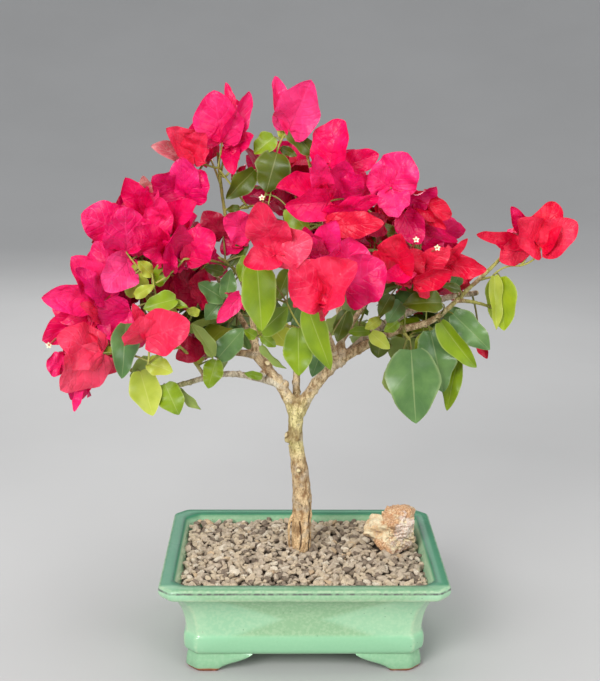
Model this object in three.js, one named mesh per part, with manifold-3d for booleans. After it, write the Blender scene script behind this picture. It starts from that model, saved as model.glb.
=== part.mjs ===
// A flowering bougainvillea bonsai with a forked trunk, in a glazed rectangular pot of gravel with
// one accent stone. Millimetres, +Z up, the front of the pot towards -Y. The origin lies under the
// middle of the pot, on the surface that the pot stands on.

import * as THREE from "three";
import { mergeVertices } from "three/addons/utils/BufferGeometryUtils.js";
import Module from "manifold-3d";

const wasm = await Module();
wasm.setup();

// Driving dimensions

const GAP = 0.3; // clearance between neighbouring pieces
const SLIVER = 0.08; // edges shorter than this, left by a cut, are closed up

const POT = {
  width: 205,
  depth: 156,
  height: 70,
  cornerRadius: 14, // rounded cant of the lip's corners, seen from above
  cornerSteps: 3,
  floor: 19, // top of the floor, above the ground
  underside: 12.5, // bottom of the body, between the feet
  footInset: 17.5, // the feet's outer faces, in from the lip
  footThickness: 12,
  footReach: 23, // flat length of a foot along the front, from its corner
  footSweep: 25, // further length over which the foot sweeps up to the body
  drainRadius: 6,
  drainOffset: 45,
};

// Outer wall of the pot, from the underside up to the rim: how far in from the lip, at which
// height.
const POT_OUTSIDE = [
  [20, POT.underside],
  [18, 14],
  [16.4, 17],
  [16, 22],
  [16.6, 26.5],
  [17.8, 28.5],
  [16.8, 37],
  [14.6, 46],
  [11.6, 54],
  [8.6, 59.5],
  [4.5, 61.5],
  [1.4, 63],
  [0, 65.5],
  [0.2, 68.4],
  [1.8, POT.height],
];
// Inner wall, from the rim down to the floor.
const POT_INSIDE = [
  [9.6, POT.height],
  [11, 68.6],
  [14.6, 60],
  [20.2, 46],
  [22.6, 32],
  [25, POT.floor],
];

const SOIL = {
  rim: 64.4,
  ground: 67,
  edge: 13.4, // the gravel's edge, in from the lip
  slope: 30, // distance from the edge over which it rises to the ground's height
  heap: 1.8, // depth of the hollows
  step: 11.5, // distance from a heap to the next hollow
  columns: 16,
  rows: 12,
  trunkPad: 11,
  stonePad: 12,
  padDepth: 5,
};

const STONE = { x: 66, y: 12, radius: 20, stretch: [1.05, 0.85, 0.95], seated: 66.6, roughness: 0.34 };

const TRUNK = {
  path: [[-1.2, 10, 60], [-1.2, 10, 84], [-0.9, 10, 110], [-6, 7.5, 152], [-6, 5, 180]],
  foot: 7.6,
  neck: 5.2,
  flare: 0.28, // extra width of the root flare at the ground, as a share of the radius
  flareHeight: 16,
  flareLobes: 5,
  knob: { at: [-12.2, 5.5, 154], radius: 3.4 },
  scar: { at: [-3.4, 1.2, 130], radius: 2.4 },
};

// Each bough is one tapering limb: it springs from a point on its parent's line and runs through
// the points of path.
const BOUGHS = {
  left_bough: { parent: "trunk", at: 0.96, path: [[-19.3, 2, 198], [-37, -2, 221]], radii: [4.1, 3.2] },
  right_bough: {
    parent: "trunk",
    at: 0.95,
    path: [[20.6, 0, 210.5], [60.5, -10, 237], [91, -12, 248], [119, -5, 271.5]],
    radii: [4.5, 1.5],
  },
  left_low_branch: {
    parent: "left_bough",
    at: 0.45,
    path: [[-55, -9, 206.7], [-94.5, -12, 198]],
    radii: [2.4, 1.9],
  },
  left_upper_branch: {
    parent: "left_bough",
    at: 0.97,
    path: [[-60, 5, 221], [-108, 10, 240]],
    radii: [2.5, 1.6],
  },
  left_leader: {
    parent: "left_bough",
    at: 0.95,
    path: [[-38, 3, 246], [-50, 4, 288]],
    radii: [2.5, 1.7],
  },
  right_upper_branch: {
    parent: "right_bough",
    at: 0.3,
    path: [[59, 8, 240], [102, 10, 259], [125, 8, 263.5]],
    radii: [3.4, 2],
  },
  right_leader: {
    parent: "right_bough",
    at: 0.33,
    path: [[24.6, 5, 254], [16, 4, 300]],
    radii: [2.8, 1.8],
  },
  front_branch: {
    parent: "right_bough",
    at: 0.3,
    path: [[16, -32, 240], [4, -58, 262]],
    radii: [2.3, 1.5],
  },
  back_left_branch: {
    parent: "left_bough",
    at: 0.7,
    path: [[-44, 36, 232], [-66, 70, 262]],
    radii: [2.7, 1.7],
  },
  back_right_branch: {
    parent: "right_bough",
    at: 0.2,
    path: [[38, 40, 236], [62, 72, 262]],
    radii: [2.7, 1.7],
  },
  back_branch: { parent: "trunk", at: 0.97, path: [[-4, 40, 236], [2, 66, 286]], radii: [2.8, 1.7] },
};

// Each mass of blossom or leaves: its middle and half sizes, the bough and the place on it that
// carry its stem, its number of twigs, and the share of them that end in a flower. Size scales its
// flowers and leaves.
const MASSES = {
  blossom_left_low: {
    at: [-152, -8, 236],
    reach: [42, 46, 46],
    bough: "left_low_branch",
    twigs: 20,
    bloom: 0.8,
  },
  blossom_left: {
    at: [-116, 0, 297],
    reach: [52, 52, 44],
    bough: "left_upper_branch",
    twigs: 26,
    bloom: 0.85,
  },
  blossom_left_inner: {
    at: [-66, -44, 300],
    reach: [44, 48, 40],
    bough: "left_leader",
    where: 0.75,
    twigs: 20,
    bloom: 0.7,
  },
  blossom_top_left: {
    at: [-66, 4, 370],
    reach: [40, 38, 40],
    bough: "left_leader",
    twigs: 18,
    bloom: 0.75,
  },
  blossom_top: { at: [-5, 2, 386], reach: [34, 34, 38], bough: "right_leader", twigs: 14, bloom: 0.55 },
  blossom_upper: {
    at: [36, -6, 338],
    reach: [46, 46, 36],
    bough: "right_leader",
    where: 0.84,
    twigs: 22,
    bloom: 0.8,
  },
  blossom_front: {
    at: [6, -66, 298],
    reach: [52, 50, 42],
    bough: "front_branch",
    twigs: 24,
    bloom: 0.8,
  },
  blossom_right: {
    at: [88, -14, 296],
    reach: [42, 48, 38],
    bough: "right_upper_branch",
    where: 0.62,
    twigs: 21,
    bloom: 0.75,
  },
  blossom_right_tip: {
    at: [156, -4, 305],
    reach: [36, 34, 28],
    size: 0.8,
    bough: "right_bough",
    twigs: 18,
    bloom: 0.75,
  },
  leaves_right_tip: {
    at: [141, -6, 254],
    reach: [20, 24, 28],
    bough: "right_bough",
    where: 0.9,
    twigs: 6,
    bloom: 0,
  },
  leaves_left: {
    at: [-98, -32, 232],
    reach: [40, 44, 38],
    bough: "left_low_branch",
    where: 0.7,
    twigs: 18,
    bloom: 0.15,
  },
  leaves_centre: {
    at: [-26, -42, 246],
    reach: [50, 46, 38],
    bough: "front_branch",
    where: 0.45,
    twigs: 20,
    bloom: 0,
  },
  leaves_right: {
    at: [82, -24, 232],
    reach: [46, 44, 48],
    bough: "right_bough",
    where: 0.62,
    twigs: 21,
    bloom: 0,
  },
  blossom_back_left: {
    at: [-90, 66, 286],
    reach: [54, 54, 50],
    bough: "back_left_branch",
    twigs: 24,
    bloom: 0.75,
  },
  blossom_back: { at: [-6, 73, 318], reach: [54, 48, 48], bough: "back_branch", twigs: 26, bloom: 0.8 },
  blossom_back_right: {
    at: [80, 68, 288],
    reach: [52, 54, 46],
    bough: "back_right_branch",
    twigs: 24,
    bloom: 0.75,
  },
  leaves_back_left: {
    at: [-56, 58, 232],
    reach: [48, 48, 36],
    bough: "back_left_branch",
    where: 0.62,
    twigs: 16,
    bloom: 0,
  },
  leaves_back_right: {
    at: [64, 46, 226],
    reach: [46, 48, 38],
    bough: "back_right_branch",
    where: 0.4,
    twigs: 18,
    bloom: 0,
  },
};

const STEM = { radius: [1.9, 1.7], sides: 5, steps: 5, rise: 0.12, onward: 0.4, short: 0.2 };
const TWIG = { radius: 0.9, steps: 2 };
// Bracts and leaves have outlines of points: along the midrib, out to one side, and lifted by the
// fold.
const BRACT = {
  length: 38,
  width: 32,
  thickness: 1.4,
  fold: 0.3,
  notch: 3.6, // how far the gap between two bracts stops from the flower's middle
  open: 46, // degrees away from the flower's axis
  spread: 16, // degrees by which the axis strays
  outline: [[0.4, -0.95, 1], [0.72, -0.72, 0.7], [1, 0, -0.4], [0.72, 0.72, 0.7], [0.4, 0.95, 1]],
};
const LEAF = {
  length: 40,
  width: 28,
  fold: 0.3,
  forward: 0.5,
  tilt: 0.45,
  droop: 0.45,
  outline: [[0.3, 0.98, 1], [0.68, 0.72, 0.7], [1, 0, -0.4], [0.68, -0.72, 0.7], [0.3, -0.98, 1]],
};
const PULLS = [1, 0.9, 0.8, 0.7, 0.6, 0.5]; // shares of a mass's half sizes that a twig is tried at
const TWISTS = [0, 0.5, 1, 1.5]; // angles by which its flower is turned at each try
const SCALES = [1, 0.8, 0.66]; // sizes of its flower and leaves at each try
const TRIES = SCALES.flatMap((scale) =>
  PULLS.flatMap((pull) => TWISTS.map((twist) => ({ scale, pull, twist }))),
);
const SIZE_SPREAD = 0.14; // share by which leaves and bracts differ in size
const CROWN = { heart: [0, 0, 262], flowersUp: 0.35, leavesDown: 0.6, flowerEdge: -0.3, leafEdge: -0.2 };
const TOUCH = 0.05; // flowers and leaves of one mass stay this far apart
const SHARPEST_BEND = 0.2; // cosine of the sharpest bend from a twig into its flower or leaf
const REACH_SLACK = 1.25; // a blade may pass the mass's half sizes by this share

const GOLDEN_ANGLE = Math.PI * (3 - Math.sqrt(5));
const UP = new THREE.Vector3(0, 0, 1);

// Materials

const paint = (color, roughness) => new THREE.MeshStandardMaterial({ color, roughness, metalness: 0 });
const MATERIALS = {
  glaze: paint(0x7fc3a0, 0.2),
  gravel: paint(0x9d958a, 0.95),
  stone: paint(0xd9b08c, 0.85),
  bark: paint(0xa38a68, 0.85),
  bracts: paint(0xe8175f, 0.6),
  leaves: paint(0x4f8a34, 0.5),
};

// Helpers for solids and random numbers

// A stream of even random numbers from 0 to 1, the same for the same seed.
function seededRandom(seed) {
  let state = seed >>> 0;
  return () => {
    state = (state + 0x6d2b79f5) >>> 0;
    let mixed = Math.imul(state ^ (state >>> 15), state | 1);
    mixed ^= mixed + Math.imul(mixed ^ (mixed >>> 7), mixed | 61);
    return ((mixed ^ (mixed >>> 14)) >>> 0) / 4294967296;
  };
}

const vector = (xyz) => new THREE.Vector3(...xyz);

// A closed geometry as a solid that can be joined and cut.
function toSolid(geometry) {
  const bare = new THREE.BufferGeometry().setAttribute("position", geometry.getAttribute("position"));
  if (geometry.index) bare.setIndex(geometry.index);
  const merged = mergeVertices(bare, 1e-4);
  return new wasm.Manifold(
    new wasm.Mesh({
      numProp: 3,
      vertProperties: new Float32Array(merged.attributes.position.array),
      triVerts: new Uint32Array(merged.index.array),
    }),
  );
}

function toMesh(name, solid, material) {
  const data = solid.getMesh();
  const geometry = new THREE.BufferGeometry()
    .setAttribute("position", new THREE.BufferAttribute(new Float32Array(data.vertProperties), 3))
    .setIndex(new THREE.BufferAttribute(new Uint32Array(data.triVerts), 1));
  geometry.computeVertexNormals();
  const mesh = new THREE.Mesh(geometry, material);
  mesh.name = name;
  return mesh;
}

// The largest of a solid's separate bodies, without slivers: what a cut leaves loose is dropped.
function largestBody(solid) {
  const bodies = solid.simplify(SLIVER).decompose();
  return bodies.reduce((best, body) => (body.volume() > best.volume() ? body : best));
}

// A geometry from rings of points with the same count, each ring joined to the next and both ends
// capped.
function ringGeometry(rings, closedLoop = false) {
  const count = rings[0].length;
  const points = rings.flat();
  const triangles = [];
  const loops = closedLoop ? rings.length : rings.length - 1;
  for (let r = 0; r < loops; r++) {
    const low = r * count;
    const high = ((r + 1) % rings.length) * count;
    for (let i = 0; i < count; i++) {
      const next = (i + 1) % count;
      triangles.push(low + i, low + next, high + next, low + i, high + next, high + i);
    }
  }
  if (!closedLoop) {
    const top = (rings.length - 1) * count;
    for (let i = 1; i < count - 1; i++) {
      triangles.push(0, i + 1, i);
      triangles.push(top, top + i, top + i + 1);
    }
  }
  return new THREE.BufferGeometry().setFromPoints(points).setIndex(triangles);
}

// Pot, soil and stone

// One level ring of a rectangle with rounded corners, in from the lip by inset.
function potRing([inset, z]) {
  const halfWidth = POT.width / 2 - inset;
  const halfDepth = POT.depth / 2 - inset;
  const radius = Math.min(POT.cornerRadius, halfWidth, halfDepth);
  const ring = [];
  for (let corner = 0; corner < 4; corner++) {
    const right = corner === 0 || corner === 3 ? 1 : -1;
    const back = corner < 2 ? 1 : -1;
    for (let step = 0; step <= POT.cornerSteps; step++) {
      const angle = ((corner + step / POT.cornerSteps) * Math.PI) / 2;
      ring.push(
        new THREE.Vector3(
          right * (halfWidth - radius) + radius * Math.cos(angle),
          back * (halfDepth - radius) + radius * Math.sin(angle),
          z,
        ),
      );
    }
  }
  return ring;
}

// The opening between two feet: an outline that sweeps up from the ground on both sides, carried
// through the pot.
function footArch(span, through) {
  const flat = span / 2 - POT.footInset - POT.footReach;
  const crown = flat - POT.footSweep;
  const low = -5;
  const high = POT.underside + 6;
  const outline = new THREE.Shape();
  outline.moveTo(flat, low);
  outline.lineTo(flat, 0);
  const steep = POT.underside * 0.5;
  const shallow = POT.underside * 0.45;
  outline.bezierCurveTo(flat - 4, steep, crown + 8, shallow, crown, POT.underside);
  outline.lineTo(crown, high);
  outline.lineTo(-crown, high);
  outline.lineTo(-crown, POT.underside);
  outline.bezierCurveTo(-crown - 8, shallow, -flat + 4, steep, -flat, 0);
  outline.lineTo(-flat, low);
  outline.closePath();
  const settings = { depth: through, bevelEnabled: false, curveSegments: 5 };
  const arch = new THREE.ExtrudeGeometry(outline, settings);
  return arch.translate(0, 0, -through / 2).rotateX(Math.PI / 2);
}

function makePot() {
  const body = toSolid(ringGeometry([...POT_OUTSIDE, ...POT_INSIDE].map(potRing)));
  const inner = POT.footInset + POT.footThickness;
  const overlap = POT.underside + 2.5;
  const skirtRings = [
    [POT.footInset + 1, 0],
    [POT.footInset, 3],
    [POT.footInset + 2, overlap],
    [inner, overlap],
    [inner, 0],
  ];
  const archFront = toSolid(footArch(POT.width, POT.depth * 1.2));
  const archSide = toSolid(footArch(POT.depth, POT.width * 1.2).rotateZ(Math.PI / 2));
  const feet = toSolid(ringGeometry(skirtRings.map(potRing), true)).subtract(archFront).subtract(archSide);
  let pot = body.add(feet);
  for (const side of [-1, 1]) {
    const drain = new THREE.CylinderGeometry(POT.drainRadius, POT.drainRadius, POT.floor * 2, 12);
    pot = pot.subtract(toSolid(drain.rotateX(Math.PI / 2).translate(side * POT.drainOffset, 0, POT.floor)));
  }
  return pot;
}

// The gravel's height at a point of its grid: it rises from the rim to the middle ground, in low
// heaps with hollows between them, each a little different.
function gravelHeight(x, y) {
  const inward = Math.min(POT.width / 2 - Math.abs(x), POT.depth / 2 - Math.abs(y)) - SOIL.edge;
  const rise = THREE.MathUtils.clamp(inward / SOIL.slope, 0, 1);
  const column = Math.round(x / SOIL.step);
  const row = Math.round(y / SOIL.step);
  const wave = Math.sin(column * 12.9898 + row * 78.233) * 43758.5453;
  const shake = 0.3 * (wave - Math.floor(wave));
  const hollow = (column + row) % 2 === 0 ? shake : 1 - shake;
  return THREE.MathUtils.lerp(SOIL.rim, SOIL.ground, rise) - SOIL.heap * hollow;
}

// The gravel fills the pot up to just under the rim. The trunk and the stone stand on level ground.
function makeSoil() {
  const sides = POT_INSIDE.slice(2)
    .reverse()
    .map(([inset, z]) => potRing([inset + GAP, z + GAP]));
  const wall = [
    [SOIL.edge, SOIL.rim],
    [SOIL.edge - 1.2, SOIL.ground + GAP],
  ];
  const fill = toSolid(ringGeometry([...sides, ...wall.map(potRing)]));
  const { step, columns, rows } = SOIL;
  const block = new THREE.BoxGeometry(step * columns, step * rows, SOIL.ground, columns, rows, 1);
  const points = block.translate(0, 0, SOIL.ground / 2).attributes.position;
  for (let i = 0; i < points.count; i++) {
    if (points.getZ(i) > 0) points.setZ(i, gravelHeight(points.getX(i), points.getY(i)));
  }
  const pads = [
    [...TRUNK.path[0].slice(0, 2), SOIL.trunkPad],
    [STONE.x, STONE.y, SOIL.stonePad],
  ].map(([x, y, radius]) => {
    const pad = new THREE.CylinderGeometry(radius, radius + 3, SOIL.padDepth, 10).rotateX(Math.PI / 2);
    return toSolid(pad.translate(x, y, SOIL.ground - SOIL.padDepth / 2));
  });
  return wasm.Manifold.union([fill.intersect(toSolid(block)), ...pads]);
}

// A rough broken stone, seated flat on the gravel.
function makeStone() {
  const random = seededRandom(29);
  const facets = new THREE.IcosahedronGeometry(STONE.radius, 2);
  const ball = mergeVertices(facets.deleteAttribute("normal").deleteAttribute("uv"));
  const points = ball.attributes.position;
  const point = new THREE.Vector3();
  for (let i = 0; i < points.count; i++) {
    point.fromBufferAttribute(points, i).multiplyScalar(1 - STONE.roughness * random());
    points.setXYZ(i, ...point.multiply(vector(STONE.stretch)));
  }
  ball.translate(STONE.x, STONE.y, STONE.seated + STONE.radius * 0.62);
  return toSolid(ball).trimByPlane([0, 0, 1], SOIL.ground + GAP);
}

// Trunk and boughs

// A limb along a curve: rings whose radius is radiusAt(share, angle, point), with flat ends. Grow
// adds to every radius.
function limbGeometry(curve, radiusAt, sides, steps, grow = 0) {
  const frames = curve.computeFrenetFrames(steps, false);
  const rings = [];
  for (let s = 0; s <= steps; s++) {
    const centre = curve.getPointAt(s / steps);
    const end = s === 0 ? -grow : s === steps ? grow : 0;
    centre.addScaledVector(frames.tangents[s], end);
    const ring = [];
    for (let i = 0; i < sides; i++) {
      const angle = (i / sides) * Math.PI * 2;
      const radius = radiusAt(s / steps, angle, centre) + grow;
      ring.push(
        centre
          .clone()
          .addScaledVector(frames.normals[s], radius * Math.cos(angle))
          .addScaledVector(frames.binormals[s], radius * Math.sin(angle)),
      );
    }
    rings.push(ring);
  }
  return ringGeometry(rings);
}

const taper = ([foot, tip]) => (share) => THREE.MathUtils.lerp(foot, tip, share);
const curveThrough = (points) => new THREE.CatmullRomCurve3(points, false, "centripetal");

// The trunk's radius: an even taper, with lobes of root flare close to the ground.
function trunkRadius(share, angle, centre) {
  const even = THREE.MathUtils.lerp(TRUNK.foot, TRUNK.neck, Math.min(1, share * 1.25));
  const near = Math.max(0, 1 - (centre.z - SOIL.ground) / TRUNK.flareHeight);
  const lobe = 0.6 + 0.4 * Math.cos(TRUNK.flareLobes * angle);
  return even * (1 + TRUNK.flare * near * near * lobe);
}

const trunkCurve = curveThrough(TRUNK.path.map(vector));

function makeTrunk(grow = 0) {
  const stem = toSolid(limbGeometry(trunkCurve, trunkRadius, 10, 14, grow));
  const bumps = [TRUNK.knob, TRUNK.scar].map(({ at, radius }) =>
    toSolid(new THREE.IcosahedronGeometry(radius + grow, 1).translate(...at)),
  );
  return wasm.Manifold.union([stem, ...bumps]).trimByPlane([0, 0, 1], SOIL.ground + GAP);
}

// Every bough's curve, from its place on its parent's line.
const limbCurves = { trunk: trunkCurve };
for (const [name, { parent, at, path }] of Object.entries(BOUGHS)) {
  limbCurves[name] = curveThrough([limbCurves[parent].getPointAt(at), ...path.map(vector)]);
}

const boughSteps = (curve) => Math.max(4, Math.round(curve.getLength() / 14));

function boughTube(name, grow = 0) {
  const curve = limbCurves[name];
  return toSolid(limbGeometry(curve, taper(BOUGHS[name].radii), 7, boughSteps(curve), grow));
}

// Boughs are cut clear of the trunk and of the boughs made before them.
function makeLimbs() {
  const limbs = { trunk: makeTrunk() };
  let taken = makeTrunk(GAP);
  for (const name of Object.keys(BOUGHS)) {
    limbs[name] = largestBody(boughTube(name).subtract(taken));
    taken = taken.add(boughTube(name, GAP));
  }
  return { limbs, taken };
}

// Masses of blossom and leaves

// Away from the crown's heart.
const outwardOf = (mass) => vector(mass.at).sub(vector(CROWN.heart)).normalize();

// The stem of a mass: it starts clear of a bough's tip and goes on along the bough's line, or
// branches off the bough on the way and bows upwards. It ends short of the mass's middle, on the
// side of the crown's heart.
function stemCurve(mass) {
  const { at, reach, bough, where } = mass;
  const limb = limbCurves[bough];
  const fromTip = where === undefined;
  const onward = limb.getTangentAt(1);
  const root = fromTip ? limb.getPointAt(1).addScaledVector(onward, GAP * 1.3) : limb.getPointAt(where);
  const short = (STEM.short * (reach[0] + reach[1] + reach[2])) / 3;
  const end = vector(at).addScaledVector(outwardOf(mass), -short);
  const span = root.distanceTo(end);
  const bend = root.clone();
  if (fromTip) bend.addScaledVector(onward, span * STEM.onward);
  else bend.lerp(end, 0.45).addScaledVector(UP, span * STEM.rise);
  return new THREE.QuadraticBezierCurve3(root, bend, end);
}

// Whether a point lies inside a mass's half sizes, or only a little past them.
function inSpace(mass, point) {
  return point.clone().sub(vector(mass.at)).divide(vector(mass.reach)).length() < REACH_SLACK;
}

// The share of a stem's length at which it enters its mass's space for good.
function entryShare(mass, curve) {
  let share = 0.94;
  while (share > 0.3 && inSpace(mass, curve.getPointAt(share - 0.04))) share -= 0.04;
  return share;
}

const geometryPoints = (geometry) => {
  const { array, count } = geometry.attributes.position;
  return Array.from({ length: count }, (_, i) => new THREE.Vector3().fromArray(array, i * 3));
};

// A unit vector across a direction, turned round it.
const acrossTo = (direction, turn) =>
  new THREE.Vector3(direction.y, -direction.x, 0.01).normalize().applyAxisAngle(direction, turn);

// The directions of twigs, spread evenly over the cap of a ball round an axis: the first along the
// axis, the last as far round it as the cosine in edge.
function twigDirection(index, count, axis, edge, turn) {
  const along = 1 - ((1 - edge) * (index + 0.5)) / count;
  const across = acrossTo(axis, index * GOLDEN_ANGLE + turn);
  return axis.clone().multiplyScalar(along).addScaledVector(across, Math.sqrt(1 - along * along));
}

// The rings of a three-sided twig, from the share of its curve given by start. The last ring lies
// just short of the end, square to axis, and its points stand in the directions of outs.
function twigRings(curve, outs, axis, start) {
  const ringRound = (centre, tangent) =>
    outs.map((out) => {
      const level = out.clone().addScaledVector(tangent, -out.dot(tangent)).normalize();
      return centre.clone().addScaledVector(level, TWIG.radius);
    });
  const rings = [];
  for (let s = 0; s < TWIG.steps; s++) {
    const share = THREE.MathUtils.lerp(start, 1, s / TWIG.steps);
    rings.push(ringRound(curve.getPointAt(share), curve.getTangentAt(share)));
  }
  rings.push(ringRound(curve.getPointAt(1).addScaledVector(axis, -TWIG.radius), axis));
  return rings;
}

// The faces of a twig of three-sided rings, with its foot closed and its end open.
function twigTriangles(rings) {
  const triangles = [0, 2, 1];
  for (let low = 0; low < (rings.length - 1) * 3; low += 3) {
    for (let i = 0; i < 3; i++) {
      const next = (i + 1) % 3;
      triangles.push(low + i, low + next, low + 3 + next, low + i, low + 3 + next, low + 3 + i);
    }
  }
  return triangles;
}

// The points of a blade's outline, from its root: along the midrib, out to the side and lifted by
// the fold.
function bladeRim(root, along, side, upper, size, { length, width, fold, outline }) {
  return outline.map(([share, out, height]) =>
    root
      .clone()
      .addScaledVector(along, share * length * size)
      .addScaledVector(side, (out * width * size) / 2)
      .addScaledVector(upper, (height * fold * width * size) / 2),
  );
}

// A flower on its twig, in one closed shape: the twig's end widens into three bracts, thick at the
// flower's middle and thin at their rims.
function flowerGeometry({ curve, axis, turn, size }, start = 0) {
  const base = curve.getPointAt(1);
  const open = THREE.MathUtils.degToRad(BRACT.open);
  const outs = [0, 1, 2].map((i) => acrossTo(axis, turn + (i * Math.PI * 2) / 3));
  const rings = twigRings(curve, outs, axis, start);
  const rims = outs.map((out) => {
    const along = axis.clone().multiplyScalar(Math.cos(open)).addScaledVector(out, Math.sin(open));
    const upper = axis.clone().multiplyScalar(Math.sin(open)).addScaledVector(out, -Math.cos(open));
    const side = new THREE.Vector3().crossVectors(upper, along);
    const notch = out.clone().applyAxisAngle(axis, -Math.PI / 3).addScaledVector(axis, 0.8);
    const gap = base.clone().addScaledVector(notch, BRACT.notch * size);
    return [gap, ...bladeRim(base, along, side, upper, size, BRACT)];
  });
  const points = [...rings.flat(), ...rims.flat(), base.clone().addScaledVector(axis, BRACT.thickness)];
  const triangles = twigTriangles(rings);
  const neck = (rings.length - 1) * 3;
  const first = neck + 3;
  const top = points.length - 1;
  const count = top - first;
  for (let j = 0; j < count; j++) {
    const here = first + j;
    const next = first + ((j + 1) % count);
    triangles.push(top, here, next, neck + Math.floor(j / rims[0].length), next, here);
  }
  for (let i = 0; i < 3; i++) {
    const next = (i + 1) % 3;
    triangles.push(neck + i, neck + next, first + next * rims[0].length);
  }
  return new THREE.BufferGeometry().setFromPoints(points).setIndex(triangles);
}

// A leaf on its twig, in one closed shape: the twig's end flattens into a blade that is folded up
// along its midrib.
function leafGeometry({ curve, axis, up, size }, start = 0) {
  const side = new THREE.Vector3().crossVectors(axis, up).normalize();
  const upper = new THREE.Vector3().crossVectors(side, axis);
  const outs = [0, 1, 2].map((i) => upper.clone().applyAxisAngle(axis, (i * Math.PI * 2) / 3));
  const rings = twigRings(curve, outs, axis, start);
  const rim = bladeRim(curve.getPointAt(1), axis, side, upper, size, LEAF);
  const points = [...rings.flat(), ...rim];
  const [top, right, left] = [3, 2, 1].map((back) => rings.length * 3 - back);
  const first = rings.length * 3;
  const last = points.length - 1;
  const tip = (first + last) / 2;
  const triangles = twigTriangles(rings);
  triangles.push(top, right, first, left, top, last, right, left, tip);
  for (let i = first; i < last; i++) triangles.push(top, i, i + 1, i < tip ? right : left, i + 1, i);
  return new THREE.BufferGeometry().setFromPoints(points).setIndex(triangles);
}

// One twig of a mass, with its flower or leaf. Every twig draws its own random numbers, so none
// depends on another. Flowers face up and away from the crown's heart, leaves hang below them. Pull
// is the share of the mass's half sizes that the twig reaches, scale and twist the size and turn of
// its flower or leaf.
function growTwig(mass, seed, index, stem, { scale, pull, twist }) {
  const random = seededRandom(seed * 1000 + index);
  const flowers = Math.round(mass.twigs * mass.bloom);
  const blooms = index < flowers;
  const lift = blooms ? CROWN.flowersUp : -CROWN.leavesDown;
  const facing = outwardOf(mass).addScaledVector(UP, lift).normalize();
  const direction = blooms
    ? twigDirection(index, flowers, facing, CROWN.flowerEdge, seed)
    : twigDirection(index - flowers, mass.twigs - flowers, facing, CROWN.leafEdge, seed);
  const turn = random() * Math.PI * 2;
  const size = scale * (mass.size ?? 1) * (1 + SIZE_SPREAD * (2 * random() - 1));
  const tilt = THREE.MathUtils.degToRad(BRACT.spread) * (2 * random() - 1);
  const facingAxis = direction.clone().lerp(facing, 0.5).normalize();
  facingAxis.applyAxisAngle(acrossTo(direction, turn), tilt);
  const bractHeight = BRACT.length * Math.cos(THREE.MathUtils.degToRad(BRACT.open));
  const blade = size * (blooms ? bractHeight : LEAF.length * 0.5);
  const shell = direction.clone().multiply(vector(mass.reach)).multiplyScalar(pull);
  const tip = vector(mass.at).add(shell).addScaledVector(facingAxis, -blade);
  const foot = stem.curve.getPointAt(THREE.MathUtils.lerp(stem.first, 0.98, random()));
  const bend = foot.clone().lerp(tip, 0.5).addScaledVector(UP, (random() - 0.3) * 6);
  const curve = new THREE.QuadraticBezierCurve3(foot, bend, tip);
  if (blooms) return { blooms, curve, axis: facingAxis, turn: turn + twist, size };
  const heading = curve.getTangentAt(1);
  const axis = acrossTo(heading, turn + twist).multiplyScalar(LEAF.tilt);
  axis.addScaledVector(heading, LEAF.forward).addScaledVector(UP, -LEAF.droop).normalize();
  return { blooms, curve, axis, up: UP.clone().addScaledVector(direction, 0.35).normalize(), size };
}

// A shape as a solid with the box that bounds it, to tell quickly which shapes are far apart.
function boxed(solid) {
  const { min, max } = solid.boundingBox();
  return { solid, box: new THREE.Box3(vector(min), vector(max)) };
}

const isClear = (piece, others, distance) =>
  others
    .filter((other) => piece.box.intersectsBox(other.box))
    .every((other) => piece.solid.minGap(other.solid, 1) > distance);

// One mass, fused: its stem, then each twig with its flower or leaf that stays in its space, clear
// of everything in others and of the blades before it. A twig that doesn't fit is tried again with
// less reach, then left out.
function makeMass(name, seed, stem, others) {
  const mass = MASSES[name];
  const twigs = [];
  const blades = [];
  const pieces = [stem.solid];
  for (let k = 0; k < mass.twigs; k++) {
    for (const attempt of TRIES) {
      const grown = growTwig(mass, seed, k, stem, attempt);
      if (grown.curve.getTangentAt(0.5).dot(grown.axis) < SHARPEST_BEND) continue;
      const geometry = grown.blooms ? flowerGeometry : leafGeometry;
      const shape = geometry(grown);
      if (!geometryPoints(shape).every((point) => inSpace(mass, point))) continue;
      const whole = boxed(toSolid(shape));
      const blade = boxed(toSolid(geometry(grown, 0.75)));
      const twig = boxed(toSolid(limbGeometry(grown.curve, () => TWIG.radius, 3, TWIG.steps)));
      if (!isClear(blade, [...blades, ...twigs], TOUCH) || !isClear(twig, blades, TOUCH)) continue;
      if (!isClear(whole, others, GAP)) continue;
      twigs.push(twig);
      blades.push(blade);
      pieces.push(whole.solid);
      break;
    }
  }
  return largestBody(wasm.Manifold.union(pieces));
}

// Assembly

function makeTree(group) {
  const { limbs, taken } = makeLimbs();
  for (const [name, solid] of Object.entries(limbs)) group.add(toMesh(name, solid, MATERIALS.bark));
  const names = Object.keys(MASSES);
  const stems = {};
  for (const name of names) {
    const curve = stemCurve(MASSES[name]);
    const stem = toSolid(limbGeometry(curve, taper(STEM.radius), STEM.sides, STEM.steps));
    const first = entryShare(MASSES[name], curve);
    stems[name] = { curve, first, solid: largestBody(stem.subtract(taken)) };
  }
  const built = Object.values(limbs).map(boxed);
  names.forEach((name, index) => {
    const waiting = names.slice(index + 1).map((other) => boxed(stems[other].solid));
    const solid = makeMass(name, index + 1, stems[name], [...built, ...waiting]);
    built.push(boxed(solid));
    const material = name.startsWith("leaves") ? MATERIALS.leaves : MATERIALS.bracts;
    group.add(toMesh(name, solid, material));
  });
}

const bonsai = new THREE.Group();
bonsai.name = "bougainvillea_bonsai";
bonsai.add(toMesh("pot", makePot(), MATERIALS.glaze));
bonsai.add(toMesh("soil", makeSoil(), MATERIALS.gravel));
bonsai.add(toMesh("accent_stone", makeStone(), MATERIALS.stone));
makeTree(bonsai);

export default bonsai;
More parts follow.
